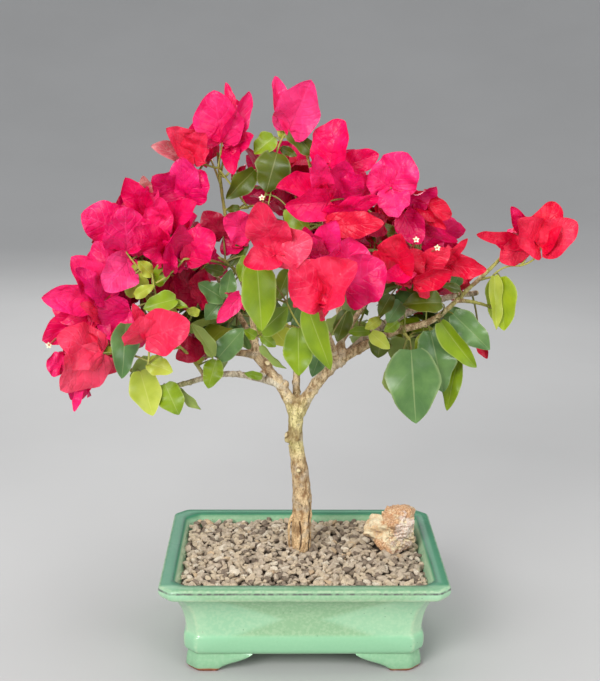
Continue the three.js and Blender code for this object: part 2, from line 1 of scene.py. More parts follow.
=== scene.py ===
import itertools
import math

import bpy
import numpy as np
from mathutils import Matrix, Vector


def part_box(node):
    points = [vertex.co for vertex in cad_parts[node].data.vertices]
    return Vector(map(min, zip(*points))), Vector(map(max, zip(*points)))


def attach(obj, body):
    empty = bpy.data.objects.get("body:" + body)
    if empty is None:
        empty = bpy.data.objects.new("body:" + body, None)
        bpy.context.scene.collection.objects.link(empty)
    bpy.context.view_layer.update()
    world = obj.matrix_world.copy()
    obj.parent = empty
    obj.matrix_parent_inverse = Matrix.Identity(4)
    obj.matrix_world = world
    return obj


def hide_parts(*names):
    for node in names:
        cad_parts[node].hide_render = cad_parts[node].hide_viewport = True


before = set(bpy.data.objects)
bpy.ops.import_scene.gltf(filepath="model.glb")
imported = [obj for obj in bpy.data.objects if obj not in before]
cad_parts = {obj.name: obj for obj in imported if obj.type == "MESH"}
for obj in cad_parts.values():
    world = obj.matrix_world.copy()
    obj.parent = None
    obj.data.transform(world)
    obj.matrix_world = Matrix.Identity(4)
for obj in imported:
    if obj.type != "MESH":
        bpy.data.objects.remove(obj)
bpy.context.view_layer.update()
mm = 0.001
goldenAngle = math.pi * (3 - math.sqrt(5))
sharpAngle = 70  # degrees between faces, above which an edge is a crease
curveCount = 201  # points on a curve
upright = np.array([0.0, 0.0, 1.0])
print("frame loaded:", len(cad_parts), "nodes")


# Vectors, random numbers and noise

def unit(vectors):
    # each vector divided by its length
    vectors = np.asarray(vectors, float)
    return vectors / np.maximum(np.linalg.norm(vectors, axis=-1, keepdims=True), 1e-12)


def turned(vectors, axis, angle):
    # vectors turned round an axis: v cos + (axis x v) sin + axis (axis . v)(1 - cos)
    cosine, sine = np.cos(angle), np.sin(angle)
    along = np.sum(axis * vectors, axis=-1, keepdims=True)
    return vectors * cosine + np.cross(axis, vectors) * sine + axis * along * (1 - cosine)


def acrossTo(direction, turn):
    # a unit vector across a direction: level to the side of it, then turned round it
    return turned(unit([direction[1], -direction[0], 0.01]), direction, turn)


def mix(low, high, share):
    # low + (high - low) share
    return low + (high - low) * share


def smoothStep(low, high, value):
    # 3t^2 - 2t^3 of the stretch from low to high
    share = np.clip((value - low) / (high - low), 0, 1)
    return share * share * (3 - 2 * share)


def evenStream(seed):
    # even random numbers from 0 to 1: a 32 bit counter, scrambled by shifts and products
    state = seed & 0xFFFFFFFF
    while True:
        state = (state + 0x6D2B79F5) & 0xFFFFFFFF
        mixed = ((state ^ (state >> 15)) * (state | 1)) & 0xFFFFFFFF
        mixed ^= (mixed + (mixed ^ (mixed >> 7)) * (mixed | 61)) & 0xFFFFFFFF
        yield (mixed ^ (mixed >> 14)) / 4294967296


def latticeNoise(points, seed):
    # hashed values at whole-number corners, blended across each cell by 3t^2 - 2t^3, from -1 to 1
    cell = np.floor(points).astype(np.int64)
    part = points - cell
    blend = part * part * (3 - 2 * part)
    total = np.zeros(points.shape[:-1])
    for corner in range(8):
        step = np.array([corner & 1, (corner >> 1) & 1, corner >> 2])
        x, y, z = np.moveaxis(cell + step, -1, 0)
        code = (x * 374761393 + y * 668265263 + z * 1274126177 + seed * 144665) & 0xFFFFFFFF
        code = ((code ^ (code >> 13)) * 1103515245) & 0xFFFFFFFF
        value = ((code ^ (code >> 16)) & 0xFFFF) / 32767.5 - 1
        total += value * np.prod(np.where(step, blend, 1 - blend), axis=-1)
    return total


def cloudNoise(points, size, octaves, seed):
    # lattice noise of a given size, plus finer noise at half the size and strength, and so on
    points = np.asarray(points) / size
    octaveList = [latticeNoise(points * 2 ** i, seed + i) / 2 ** i for i in range(octaves)]
    return np.sum(octaveList, axis=0)


# Curves, as points with the share of the length at each

def arcCurve(points):
    # lengths summed from point to point, over the whole length
    lengths = np.concatenate([[0], np.cumsum(np.linalg.norm(np.diff(points, axis=0), axis=1))])
    return {"points": points, "shares": lengths / lengths[-1], "length": lengths[-1]}


def pointAt(curve, share):
    # between the two nearest points, by share of the length
    return np.stack([np.interp(share, curve["shares"], curve["points"][:, i]) for i in range(3)], axis=-1)


def tangentAt(curve, share):
    # the way from a little before to a little after
    share = np.asarray(share, float)
    return unit(pointAt(curve, np.minimum(share + 0.004, 1)) - pointAt(curve, np.maximum(share - 0.004, 0)))


def curveThrough(points):
    # centripetal cubic through the points, with the ends carried on by reflection
    points = np.asarray(points, float)
    padded = np.concatenate([[2 * points[0] - points[1]], points, [2 * points[-1] - points[-2]]])
    spot = np.linspace(0, 1, curveCount) * (len(points) - 1)
    first = np.minimum(spot.astype(int), len(points) - 2)
    share = (spot - first)[:, None]
    p0, p1, p2, p3 = (padded[first + i] for i in range(4))
    pairs = ((p0, p1), (p1, p2), (p2, p3))
    gap0, gap1, gap2 = (np.sqrt(np.linalg.norm(b - a, axis=1))[:, None] for a, b in pairs)
    slope1 = gap1 * ((p1 - p0) / gap0 - (p2 - p0) / (gap0 + gap1) + (p2 - p1) / gap1)
    slope2 = gap1 * ((p2 - p1) / gap1 - (p3 - p1) / (gap1 + gap2) + (p3 - p2) / gap2)
    square = -3 * p1 + 3 * p2 - 2 * slope1 - slope2
    cube = 2 * p1 - 2 * p2 + slope1 + slope2
    return arcCurve(p1 + share * (slope1 + share * (square + share * cube)))


def bentLine(start, bend, end, t):
    # quadratic pulled towards its bend: (1 - t)^2 start + 2 t (1 - t) bend + t^2 end
    return (1 - t) ** 2 * start + 2 * t * (1 - t) * bend + t * t * end


def bentCurve(start, bend, end):
    # the bent line at even steps of t
    return arcCurve(bentLine(start, bend, end, np.linspace(0, 1, curveCount)[:, None]))


# Meshes from arrays: a part holds points, faces (a triangle has -1 last), a material for each face and a uv

def loftFaces(rings, around):
    # quads between neighbouring closed rings
    here = np.arange((rings - 1) * around).reshape(rings - 1, around)
    following = np.roll(here, -1, axis=1)
    return np.stack([here, following, following + around, here + around], axis=-1).reshape(-1, 4)


def cappedFaces(rings, around):
    # a loft closed by a fan at each end, whose two middle points follow the rings
    edge = np.arange(around)
    ahead, none, last = (edge + 1) % around, np.full(around, -1), (rings - 1) * around
    foot = np.stack([ahead, edge, np.full(around, rings * around), none], axis=1)
    head = np.stack([last + edge, last + ahead, np.full(around, rings * around + 1), none], axis=1)
    return np.concatenate([loftFaces(rings, around), foot, head])


def closedTubes(paths, radii, sides):
    # rings of radius r carried along each path, square to it, with a point at both ends
    paths = np.asarray(paths, float)
    count, steps = paths.shape[:2]
    radii = np.broadcast_to(np.asarray(radii, float), (count, steps))
    tangents = unit(np.gradient(paths, axis=1))
    chord = unit(paths[:, -1] - paths[:, 0])
    least = np.eye(3)[np.argmin(np.abs(chord), axis=1)]
    normals = unit(np.cross(tangents, least[:, None, :]))
    binormals = np.cross(tangents, normals)
    angle = np.arange(sides) * 2 * np.pi / sides
    ring = normals[:, :, None] * np.cos(angle)[:, None] + binormals[:, :, None] * np.sin(angle)[:, None]
    rings = paths[:, :, None] + ring * radii[:, :, None, None]
    tip = paths[:, -1] + tangents[:, -1] * radii[:, -1, None] * 0.6
    points = np.concatenate([rings.reshape(count, -1, 3), paths[:, :1], tip[:, None]], axis=1)
    return points, cappedFaces(steps, sides)


def ballPoints(rows, columns):
    # a ball of latitude and longitude, with its two poles last
    lat = np.linspace(-np.pi / 2, np.pi / 2, rows + 1)[1:-1, None]
    lon = np.arange(columns)[None] * 2 * np.pi / columns
    ball = np.broadcast_arrays(np.cos(lat) * np.cos(lon), np.cos(lat) * np.sin(lon), np.sin(lat))
    return np.concatenate([np.stack(ball, axis=-1).reshape(-1, 3), [[0, 0, -1], [0, 0, 1]]])


def makePart(points, faces, tint, uv=None):
    # copies of one shape: points is (copies, n, 3), tint a material for each copy or for each face of it
    copies, each = points.shape[:2]
    tint = np.asarray(tint) if np.ndim(tint) == 2 else np.asarray(tint).reshape(-1, 1)
    shift = (np.arange(copies) * each)[:, None, None]
    return {
        "points": points.reshape(-1, 3),
        "faces": np.where(faces[None] < 0, -1, faces[None] + shift).reshape(-1, 4),
        "tint": np.broadcast_to(tint, (copies, len(faces))).reshape(-1),
        "uv": np.zeros((copies * each, 2)) if uv is None else np.tile(uv, (copies, 1)),
    }


def joinParts(parts):
    # the parts' points in a row, and their faces with the point numbers moved on to match
    start = np.cumsum([0] + [len(part["points"]) for part in parts])
    faces = [np.where(part["faces"] < 0, -1, part["faces"] + first) for part, first in zip(parts, start)]
    return np.concatenate([part["points"] for part in parts]), np.concatenate(faces)


def newMesh(name, points, faces):
    # a mesh of triangles and quads
    mesh = bpy.data.meshes.new(name)
    mesh.from_pydata(points.tolist(), [], [f[:3] if f[3] < 0 else f for f in faces.tolist()])
    return mesh


def linked(name, data):
    # a new object at the origin, in the scene
    made = bpy.data.objects.new(name, data)
    bpy.context.scene.collection.objects.link(made)
    return made


def makePiece(name, parts, materials, replaced=(), smooth=True, marks=None):
    # joins the parts into one mesh, in metres, that rides on the root body
    points, faces = joinParts(parts)
    mesh = newMesh(name, points * mm, faces)
    tint, uv = (np.concatenate([part[key] for part in parts]) for key in ("tint", "uv"))
    mesh.polygons.foreach_set("material_index", tint.astype(np.int32))
    mesh.polygons.foreach_set("use_smooth", np.full(len(faces), smooth))
    corner = np.zeros(len(mesh.loops), np.int32)
    mesh.loops.foreach_get("vertex_index", corner)
    mesh.uv_layers.new(name="bladeMap").data.foreach_set("uv", uv[corner].astype(np.float32).ravel())
    for mark, values in (marks or {}).items():
        mesh.attributes.new(mark, "FLOAT", "POINT").data.foreach_set("value", values.astype(np.float32))
    for material in materials:
        mesh.materials.append(material)
    if smooth:
        mesh.set_sharp_from_angle(angle=math.radians(sharpAngle))
    piece = linked(name, mesh)
    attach(piece, "root")
    if replaced:
        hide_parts(*replaced)
    print("made", name, "with", sum(len(p.vertices) - 2 for p in mesh.polygons), "triangles")


# Shader helpers: a Wire is a shader value, and arithmetic on it adds Math nodes to its tree

class Wire:
    def __init__(self, socket):
        self.socket = socket
        self.tree = socket.id_data

    def math(self, operation, second=0.0):
        return put(self.tree, "Math", 0, {0: self, 1: second}, operation=operation)

    def __add__(self, other):
        return self.math("ADD", other)

    def __sub__(self, other):
        return self.math("SUBTRACT", other)

    def __mul__(self, other):
        return self.math("MULTIPLY", other)

    def __abs__(self):
        return self.math("ABSOLUTE")

    def largest(self, other):
        return self.math("MAXIMUM", other)

    def rest(self):
        # what is left of 1
        return put(self.tree, "Math", 0, {0: 1.0, 1: self}, operation="SUBTRACT")

    def ramp(self, low, high):
        # its stretch from low to high, smoothed to 0 and 1
        stretch = {"Value": self, "From Min": low, "From Max": high}
        return put(self.tree, "MapRange", "Result", stretch, interpolation_type="SMOOTHSTEP")


def feed(socket, value):
    # links a Wire to a socket, or sets a plain value on it
    if isinstance(value, Wire):
        socket.id_data.links.new(value.socket, socket)
    else:
        socket.default_value = value


def put(tree, kind, outs, inputs=None, **settings):
    # adds a node, feeds its inputs and gives the output named, or a list where several are
    node = tree.nodes.new("ShaderNode" + kind)
    for key, value in settings.items():
        setattr(node, key, value)
    for key, value in (inputs or {}).items():
        feed(node.inputs[key], value)
    return [Wire(node.outputs[key]) for key in outs] if isinstance(outs, tuple) else Wire(node.outputs[outs])


def shade(red, green, blue):
    # a colour as read off a picture, 0 to 255, made linear
    values = np.array([red, green, blue]) / 255
    linear = np.where(values < 0.04045, values / 12.92, ((values + 0.055) / 1.055) ** 2.4)
    return (*linear.tolist(), 1.0)


def over(colour, share, tint):
    # a tint laid over a colour by a share; a colour of three numbers runs from 0 to 255, of four is linear
    low, high = (c if isinstance(c, Wire) or len(c) == 4 else shade(*c) for c in (colour, tint))
    return put(share.tree, "Mix", 2, {0: share, 6: low, 7: high}, data_type="RGBA")


def layered(colour, layers):
    # tints laid over a colour one after another, each by its share
    for share, tint in layers:
        colour = over(colour, share, tint)
    return colour


def attribute(tree, name):
    # a mark on the mesh
    return put(tree, "Attribute", "Fac", attribute_name=name)


def ownPlace(tree):
    # the place in the piece's own frame, in metres
    return put(tree, "TexCoord", "Object")


def facingUp(tree):
    # the surface's normal along the upright
    return put(tree, "SeparateXYZ", "Z", {"Vector": put(tree, "NewGeometry", "Normal")})


def bladePlace(tree):
    # along a blade from root to tip, and across it from edge to edge
    return put(tree, "SeparateXYZ", ("X", "Y"), {"Vector": put(tree, "UVMap", "UV", uv_map="bladeMap")})


def newGroup(name, inputs, outputs):
    # a shader group with number sockets: inputs is name to default
    tree = bpy.data.node_groups.new(name, "ShaderNodeTree")
    for key, value in inputs.items():
        tree.interface.new_socket(key, in_out="INPUT", socket_type="NodeSocketFloat").default_value = value
    for key in outputs:
        tree.interface.new_socket(key, in_out="OUTPUT", socket_type="NodeSocketFloat")
    given = tree.nodes.new("NodeGroupInput")
    return tree, {key: Wire(given.outputs[key]) for key in inputs}, tree.nodes.new("NodeGroupOutput").inputs


def useGroup(tree, name, **values):
    # places a group with its own values and gives its outputs in order
    node = tree.nodes.new("ShaderNodeGroup")
    node.node_tree = groups[name]
    for key, value in values.items():
        node.inputs[key].default_value = value
    return [Wire(socket) for socket in node.outputs]


def cloudGroup():
    # a mask of soft patches: noise on the piece's own place, cut between Low and High
    values = {"Scale": 50, "Detail": 4, "Low": 0.4, "High": 0.6}
    tree, given, out = newGroup("cloudPatches", values, ["Mask", "Raw"])
    noise = {"Vector": ownPlace(tree), "Scale": given["Scale"], "Detail": given["Detail"]}
    raw = put(tree, "TexNoise", "Fac", noise)
    feed(out["Mask"], raw.ramp(given["Low"], given["High"]))
    feed(out["Raw"], raw)
    return tree


def veinGroup():
    # veins of a blade: the midrib at v = 0, and side veins where (u - slant |v|) count crosses a half
    values = {"Count": 7, "Slant": 0.3, "Width": 0.1, "Midrib": 0.09}
    tree, given, out = newGroup("bladeVeins", values, ["Side", "Rib"])
    along, across = bladePlace(tree)
    side = abs(across)
    counted = (along - side * given["Slant"]) * given["Count"]
    away = abs(counted.math("FRACT") - 0.5)
    for key, value, width in (("Side", away, "Width"), ("Rib", side, "Midrib")):
        stretch = {"Value": value, "From Min": given[width], "From Max": 0.0}
        feed(out[key], put(tree, "MapRange", "Result", stretch))
    return tree


groups = {"cloud": cloudGroup(), "veins": veinGroup()}


def newMaterial(name, **sockets):
    # a Principled material with plain values on its own sockets
    material = bpy.data.materials.new(name)
    material.use_nodes = True
    shader = material.node_tree.nodes["Principled BSDF"]
    for key, value in sockets.items():
        shader.inputs[key.replace("_", " ")].default_value = value
    return material, material.node_tree, shader


def dress(shader, colour, height, strength, distance):
    # the colour, and a bump of the height
    feed(shader.inputs["Base Color"], colour)
    bump = {"Height": height, "Strength": strength, "Distance": distance}
    feed(shader.inputs["Normal"], put(shader.id_data, "Bump", "Normal", bump))


def cloudedMaterial(name, colour, deep, scale, **sockets):
    # a plain colour that clouds towards a deeper one, with a faint bump
    material, tree, shader = newMaterial(name, **sockets)
    mask, raw = useGroup(tree, "cloud", Scale=scale, Detail=4, Low=0.35, High=0.65)
    dress(shader, over(colour, mask, deep), raw, 0.3, 0.0005)
    return material


# Camera, and places of the picture in the frame

cameraPlan = {
    "eye": np.array([-18.9, -850.5, 431.3]), "pitch": 13.35, "yaw": 1.04, "roll": 0.42,
    "focal": 1211, "picture": (600, 681), "sensor": 36,  # focal length in picture pixels
}


def cameraAxes():
    # right, up and ahead: along yaw and pitch, then turned by roll about that line
    pitch, yaw, roll = (math.radians(cameraPlan[key]) for key in ("pitch", "yaw", "roll"))
    ahead = np.array([math.sin(yaw) * math.cos(pitch), math.cos(yaw) * math.cos(pitch), -math.sin(pitch)])
    level = np.array([math.cos(yaw), -math.sin(yaw), 0])
    above = np.cross(level, ahead)
    right = level * math.cos(roll) + above * math.sin(roll)
    return right, above * math.cos(roll) - level * math.sin(roll), ahead


def placeCamera():
    # its own axes as columns, with the focal length as a share of the picture's longer side
    right, up, ahead = cameraAxes()
    data = bpy.data.cameras.new("viewCamera")
    data.sensor_width = cameraPlan["sensor"]
    data.lens = cameraPlan["focal"] * cameraPlan["sensor"] / max(cameraPlan["picture"])
    camera = linked("viewCamera", data)
    place = np.eye(4)
    place[:3] = np.column_stack([right, up, -ahead, cameraPlan["eye"] * mm])
    camera.matrix_world = Matrix(place.tolist())
    bpy.context.scene.camera = camera


def toPicture(points):
    # picture place of points: eye-to-point along right and up, over the distance ahead
    right, up, ahead = cameraAxes()
    away = np.asarray(points, float) - cameraPlan["eye"]
    scale = cameraPlan["focal"] / (away @ ahead)
    middle = np.array(cameraPlan["picture"]) / 2
    return np.stack([middle[0] + away @ right * scale, middle[1] - away @ up * scale], axis=-1)


def fromPicture(across, down, depth):
    # the point on the upright plane y = depth that the camera sees at a picture place
    right, up, ahead = cameraAxes()
    middle = np.array(cameraPlan["picture"]) / 2
    ray = ahead + (right * (across - middle[0]) - up * (down - middle[1])) / cameraPlan["focal"]
    return cameraPlan["eye"] + ray * (depth - cameraPlan["eye"][1]) / ray[1]


placeCamera()


# The tree's plan: the same limbs and masses as the solids

trunkPlan = {
    "path": [[-1.2, 10, 60], [-1.2, 10, 84], [-0.9, 10, 110], [-6, 7.5, 152], [-6, 5, 180]],
    "girth": [  # height, radius
        (60, 7.6), (100, 7.4), (114, 6.8), (129, 6.3), (146, 5.4), (162, 5.4), (180, 5.6),
    ],
}
boughPlan = {  # parent, share along it, path, radii
    "left_bough": ("trunk", 0.96, [[-19.3, 2, 198], [-37, -2, 221]], (4.1, 3.2)),
    "right_bough": (
        "trunk", 0.95, [[20.6, 0, 210.5], [60.5, -10, 237], [91, -12, 248], [119, -5, 271.5]], (4.5, 1.5),
    ),
    "left_low_branch": ("left_bough", 0.45, [[-55, -9, 206.7], [-94.5, -12, 198]], (2.4, 1.9)),
    "left_upper_branch": ("left_bough", 0.97, [[-60, 5, 221], [-108, 10, 240]], (2.5, 1.6)),
    "left_leader": ("left_bough", 0.95, [[-38, 3, 246], [-50, 4, 288]], (2.5, 1.7)),
    "right_upper_branch": ("right_bough", 0.3, [[59, 8, 240], [102, 10, 259], [125, 8, 263.5]], (3.4, 2)),
    "right_leader": ("right_bough", 0.33, [[24.6, 5, 254], [16, 4, 300]], (2.8, 1.8)),
    "front_branch": ("right_bough", 0.3, [[16, -32, 240], [4, -58, 262]], (2.3, 1.5)),
    "back_left_branch": ("left_bough", 0.7, [[-44, 36, 232], [-66, 70, 262]], (2.7, 1.7)),
    "back_right_branch": ("right_bough", 0.2, [[38, 40, 236], [62, 72, 262]], (2.7, 1.7)),
    "back_branch": ("trunk", 0.97, [[-4, 40, 236], [2, 66, 286]], (2.8, 1.7)),
}
massPlan = {  # middle, half sizes, bough, place on it (None is its tip), twigs, share that blooms, size
    "blossom_left_low": ([-152, -8, 236], [42, 46, 46], "left_low_branch", None, 20, 0.8, 1),
    "blossom_left": ([-116, 0, 297], [52, 52, 44], "left_upper_branch", None, 26, 0.85, 1),
    "blossom_left_inner": ([-66, -44, 300], [44, 48, 40], "left_leader", 0.75, 20, 0.7, 1),
    "blossom_top_left": ([-66, 4, 370], [40, 38, 40], "left_leader", None, 18, 0.75, 1),
    "blossom_top": ([-5, 2, 386], [34, 34, 38], "right_leader", None, 14, 0.55, 1),
    "blossom_upper": ([36, -6, 338], [46, 46, 36], "right_leader", 0.84, 22, 0.8, 1),
    "blossom_front": ([6, -66, 298], [52, 50, 42], "front_branch", None, 24, 0.8, 1),
    "blossom_right": ([88, -14, 296], [42, 48, 38], "right_upper_branch", 0.62, 21, 0.75, 1),
    "blossom_right_tip": ([156, -4, 305], [36, 34, 28], "right_bough", None, 18, 0.75, 0.8),
    "leaves_right_tip": ([141, -6, 254], [20, 24, 28], "right_bough", 0.9, 6, 0, 1),
    "leaves_left": ([-98, -32, 232], [40, 44, 38], "left_low_branch", 0.7, 18, 0.15, 1),
    "leaves_centre": ([-26, -42, 246], [50, 46, 38], "front_branch", 0.45, 20, 0, 1),
    "leaves_right": ([82, -24, 232], [46, 44, 48], "right_bough", 0.62, 21, 0, 1),
    "blossom_back_left": ([-90, 66, 286], [54, 54, 50], "back_left_branch", None, 24, 0.75, 1),
    "blossom_back": ([-6, 73, 318], [54, 48, 48], "back_branch", None, 26, 0.8, 1),
    "blossom_back_right": ([80, 68, 288], [52, 54, 46], "back_right_branch", None, 24, 0.75, 1),
    "leaves_back_left": ([-56, 58, 232], [48, 48, 36], "back_left_branch", 0.62, 16, 0, 1),
    "leaves_back_right": ([64, 46, 226], [46, 48, 38], "back_right_branch", 0.4, 18, 0, 1),
}
growth = {
    "heart": np.array([0.0, 0.0, 262.0]), "flowersUp": 0.35, "leavesDown": 0.6, "flowerEdge": -0.3,
    "leafEdge": -0.2, "stemRise": 0.12, "stemOnward": 0.4, "stemShort": 0.2, "tipClear": 0.39,
    "slack": 1.25, "sizeSpread": 0.14, "bractLength": 38, "bractWidth": 32, "bractOpen": math.radians(46),
    "bractSpread": math.radians(16), "leafLength": 40, "leafWidth": 28, "fold": 0.3, "tipDip": -0.4,
    "leafForward": 0.5, "leafTilt": 0.45, "leafDroop": 0.45, "scales": (1, 0.8, 0.66),
    "pulls": (1, 0.9, 0.8, 0.7, 0.6, 0.5), "twists": (0, 0.5, 1, 1.5), "match": 0.08,
}
limbCurves = {"trunk": curveThrough(trunkPlan["path"])}
for limbName, (parent, share, path, radii) in boughPlan.items():
    limbCurves[limbName] = curveThrough([pointAt(limbCurves[parent], share), *path])


def outwardOf(mass):
    # away from the crown's heart
    return unit(np.array(mass[0]) - growth["heart"])


def stemCurve(mass):
    # from the bough's tip on along its line, or off its side in a bow, to short of the mass's middle
    at, reach, bough, where = mass[:4]
    limb = limbCurves[bough]
    end = np.array(at) - outwardOf(mass) * growth["stemShort"] * np.mean(reach)
    if where is None:
        onward = tangentAt(limb, 1.0)
        root = pointAt(limb, 1.0) + onward * growth["tipClear"]
        return bentCurve(root, root + onward * np.linalg.norm(end - root) * growth["stemOnward"], end)
    root = pointAt(limb, where)
    lift = upright * np.linalg.norm(end - root) * growth["stemRise"]
    return bentCurve(root, mix(root, end, 0.45) + lift, end)


def entryShare(mass, curve):
    # the share of a stem's length at which it enters its mass's space for good
    share = 0.94
    while share > 0.3:
        place = (pointAt(curve, share - 0.04) - mass[0]) / mass[1]
        if np.linalg.norm(place) >= growth["slack"]:
            break
        share -= 0.04
    return share


def growTwig(mass, seed, index, stem, first, scale, pull, twist):
    # one twig of a mass, spread by the golden angle over a cap round its facing, with its flower or leaf
    at, reach, _, _, twigs, bloom, size = mass
    stream = evenStream(seed * 1000 + index)
    flowers = math.floor(twigs * bloom + 0.5)
    blooms = index < flowers
    lift = growth["flowersUp"] if blooms else -growth["leavesDown"]
    facing = unit(outwardOf(mass) + upright * lift)
    spot, count = (index, flowers) if blooms else (index - flowers, twigs - flowers)
    edge = growth["flowerEdge"] if blooms else growth["leafEdge"]
    along = 1 - (1 - edge) * (spot + 0.5) / count
    direction = facing * along + acrossTo(facing, spot * goldenAngle + seed) * math.sqrt(1 - along * along)
    turn = next(stream) * math.pi * 2
    size = scale * size * (1 + growth["sizeSpread"] * (2 * next(stream) - 1))
    tilt = growth["bractSpread"] * (2 * next(stream) - 1)
    axis = turned(unit(mix(direction, facing, 0.5)), acrossTo(direction, turn), tilt)
    opened = growth["bractOpen"]
    rise = growth["bractLength"] * math.cos(opened) if blooms else growth["leafLength"] * 0.5
    tip = np.array(at) + direction * reach * pull - axis * size * rise
    foot = pointAt(stem, mix(first, 0.98, next(stream)))
    bend = (foot + tip) / 2 + upright * (next(stream) - 0.3) * 6
    turn = turn + twist
    twig = {"blooms": blooms, "foot": foot, "bend": bend, "tip": tip, "size": size, "turn": turn}
    if blooms:
        out = acrossTo(axis, turn)
        blade = axis * math.cos(opened) + out * math.sin(opened)
        upper = axis * math.sin(opened) - out * math.cos(opened)
        dip = growth["tipDip"] * growth["fold"] * growth["bractWidth"] / 2
        return {**twig, "axis": axis, "end": tip + (blade * growth["bractLength"] + upper * dip) * size}
    heading = unit(tip - bend)
    axis = acrossTo(heading, turn) * growth["leafTilt"] + heading * growth["leafForward"]
    axis = unit(axis - upright * growth["leafDroop"])
    up = unit(upright + direction * 0.35)
    upper = np.cross(unit(np.cross(axis, up)), axis)
    dip = growth["tipDip"] * growth["fold"] * growth["leafWidth"] / 2
    end = tip + (axis * growth["leafLength"] + upper * dip) * size
    return {**twig, "axis": axis, "up": up, "end": end}


def grownTwigs(name, seed, stem):
    # the twigs whose blade tip the mass's solid has, each tried in the order of size, reach and turn
    mass = massPlan[name]
    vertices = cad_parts[name].data.vertices
    corners = np.zeros(len(vertices) * 3)
    vertices.foreach_get("co", corners)
    corners = corners.reshape(-1, 3) / mm
    first = entryShare(mass, stem)
    found = []
    for index in range(mass[4]):
        for attempt in itertools.product(growth["scales"], growth["pulls"], growth["twists"]):
            twig = growTwig(mass, seed, index, stem, first, *attempt)
            if np.linalg.norm(corners - twig["end"], axis=1).min() < growth["match"]:
                found.append(twig)
                break
    return found


stems = {name: stemCurve(mass) for name, mass in massPlan.items()}
massTwigs = {name: grownTwigs(name, seed + 1, stems[name]) for seed, name in enumerate(massPlan)}
print("twigs found:", {name: len(twigs) for name, twigs in massTwigs.items()})


# Blades: bracts and leaves share one shape, a folded, curled and rippled sheet with two skins

def bladeFaces(rows, columns):
    # two skins of rows x columns that share their rim and close to a point at the root and the tip
    inner = rows - 1
    top = np.zeros((rows + 1, columns + 1), int)
    top[1:-1] = 2 + np.arange(inner * (columns + 1)).reshape(inner, columns + 1)
    top[-1] = 1
    under = top.copy()
    under[1:-1, 1:-1] = top.max() + 1 + np.arange(inner * (columns - 1)).reshape(inner, columns - 1)

    def skin(grid):
        # quads between the rows, and triangles at the root and the tip
        quads = np.stack([grid[:-1, :-1], grid[1:, :-1], grid[1:, 1:], grid[:-1, 1:]], axis=-1)
        none = np.full((columns, 1), -1)
        root = np.concatenate([quads[0][:, [0, 1, 2]], none], axis=1)
        tip = np.concatenate([quads[-1][:, [0, 1, 3]], none], axis=1)
        return np.concatenate([root, quads[1:-1].reshape(-1, 4), tip])

    lower = skin(under)  # turned over, with the same diagonals as above
    lower = np.where(lower[:, 3:] < 0, lower[:, [2, 1, 0, 3]], lower[:, [0, 3, 2, 1]])
    return np.concatenate([skin(top), lower])


bladeUneven = 0.075  # how far the outline swings in and out, as a share of the width


def bladePoints(blades, shape, rows, places):
    # a midrib bent evenly by curl; across it, half the width w(u) = u^a (1-u)^b, made uneven by a sine,
    # times v, lifted by fold |v| + cup v^2 + wave |v|^1.5 sin(ripple) and by crinkle noise, drawn back at the
    # root by lobe v^2, turned by twist u
    a, b = shape["outline"]
    even = np.linspace(0, 1, rows + 1)
    u = mix(even, 0.5 - 0.5 * np.cos(np.pi * even), 0.55)[None, :, None]
    v = np.asarray(places, float)[None, None, :]
    names = "length width curl fold cup wave waves phase twist lobe crinkle".split()
    size = {key: np.asarray(blades[key], float)[:, None, None] for key in names}
    peak = a / (a + b)
    half = (u / peak) ** a * ((1 - u) / (1 - peak)) ** b * size["width"] / 2
    swing = np.sin(2 * np.pi * (1.8 * u + 2.7 * size["phase"] + 0.37 * np.sign(v)))
    half = half * (1 + bladeUneven * swing * 4 * u * (1 - u))
    curl = np.where(np.abs(size["curl"]) < 0.01, 0.01, size["curl"])
    angle = curl * (u - 0.5)
    forward = size["length"] * (np.sin(angle) + np.sin(curl / 2)) / curl
    height = size["length"] * (np.cos(curl / 2) - np.cos(angle)) / curl
    ripple = np.sin(2 * np.pi * (size["waves"] * u + size["phase"] + 0.3 * np.sign(v)))
    edge = np.abs(v)
    lift = half * (size["fold"] * edge + size["cup"] * v ** 2 + size["wave"] * edge ** 1.5 * ripple)
    number = np.arange(len(half))[:, None, None]
    spot = np.stack(np.broadcast_arrays(forward + 97.0 * number, half * v, 13.0 * number), axis=-1)
    lift = lift + size["crinkle"] * cloudNoise(spot, 8.5, 2, 31)
    out = half * v / np.sqrt(1 + size["fold"] ** 2)
    back = size["lobe"] * size["length"] * v ** 2 * np.exp(-(u / 0.28) ** 2)
    turn = size["twist"] * (u - 0.3)
    out, lift = out * np.cos(turn) - lift * np.sin(turn), out * np.sin(turn) + lift * np.cos(turn)
    forward, height = forward - back - lift * np.sin(angle), height + lift * np.cos(angle)
    local = np.stack([forward, out + 0 * u, height], axis=-1)
    axes = np.stack([blades["along"], blades["side"], blades["upper"]], axis=1)
    top = np.asarray(blades["root"])[:, None, None] + np.einsum("nrck,nkd->nrcd", local, axes)
    normal = unit(np.cross(np.gradient(top, axis=1), np.gradient(top, axis=2)))
    under = top - normal * shape["thickness"]
    count, middle = len(top), len(places) // 2
    points = np.concatenate([
        top[:, :1, middle], top[:, -1:, middle],
        top[:, 1:-1].reshape(count, -1, 3), under[:, 1:-1, 1:-1].reshape(count, -1, 3),
    ], axis=1)
    grid = np.stack(np.broadcast_arrays(u[0], v[0]), axis=-1)
    uv = np.concatenate([[[0, 0], [1, 0]], grid[1:-1].reshape(-1, 2), grid[1:-1, 1:-1].reshape(-1, 2)])
    return points, uv


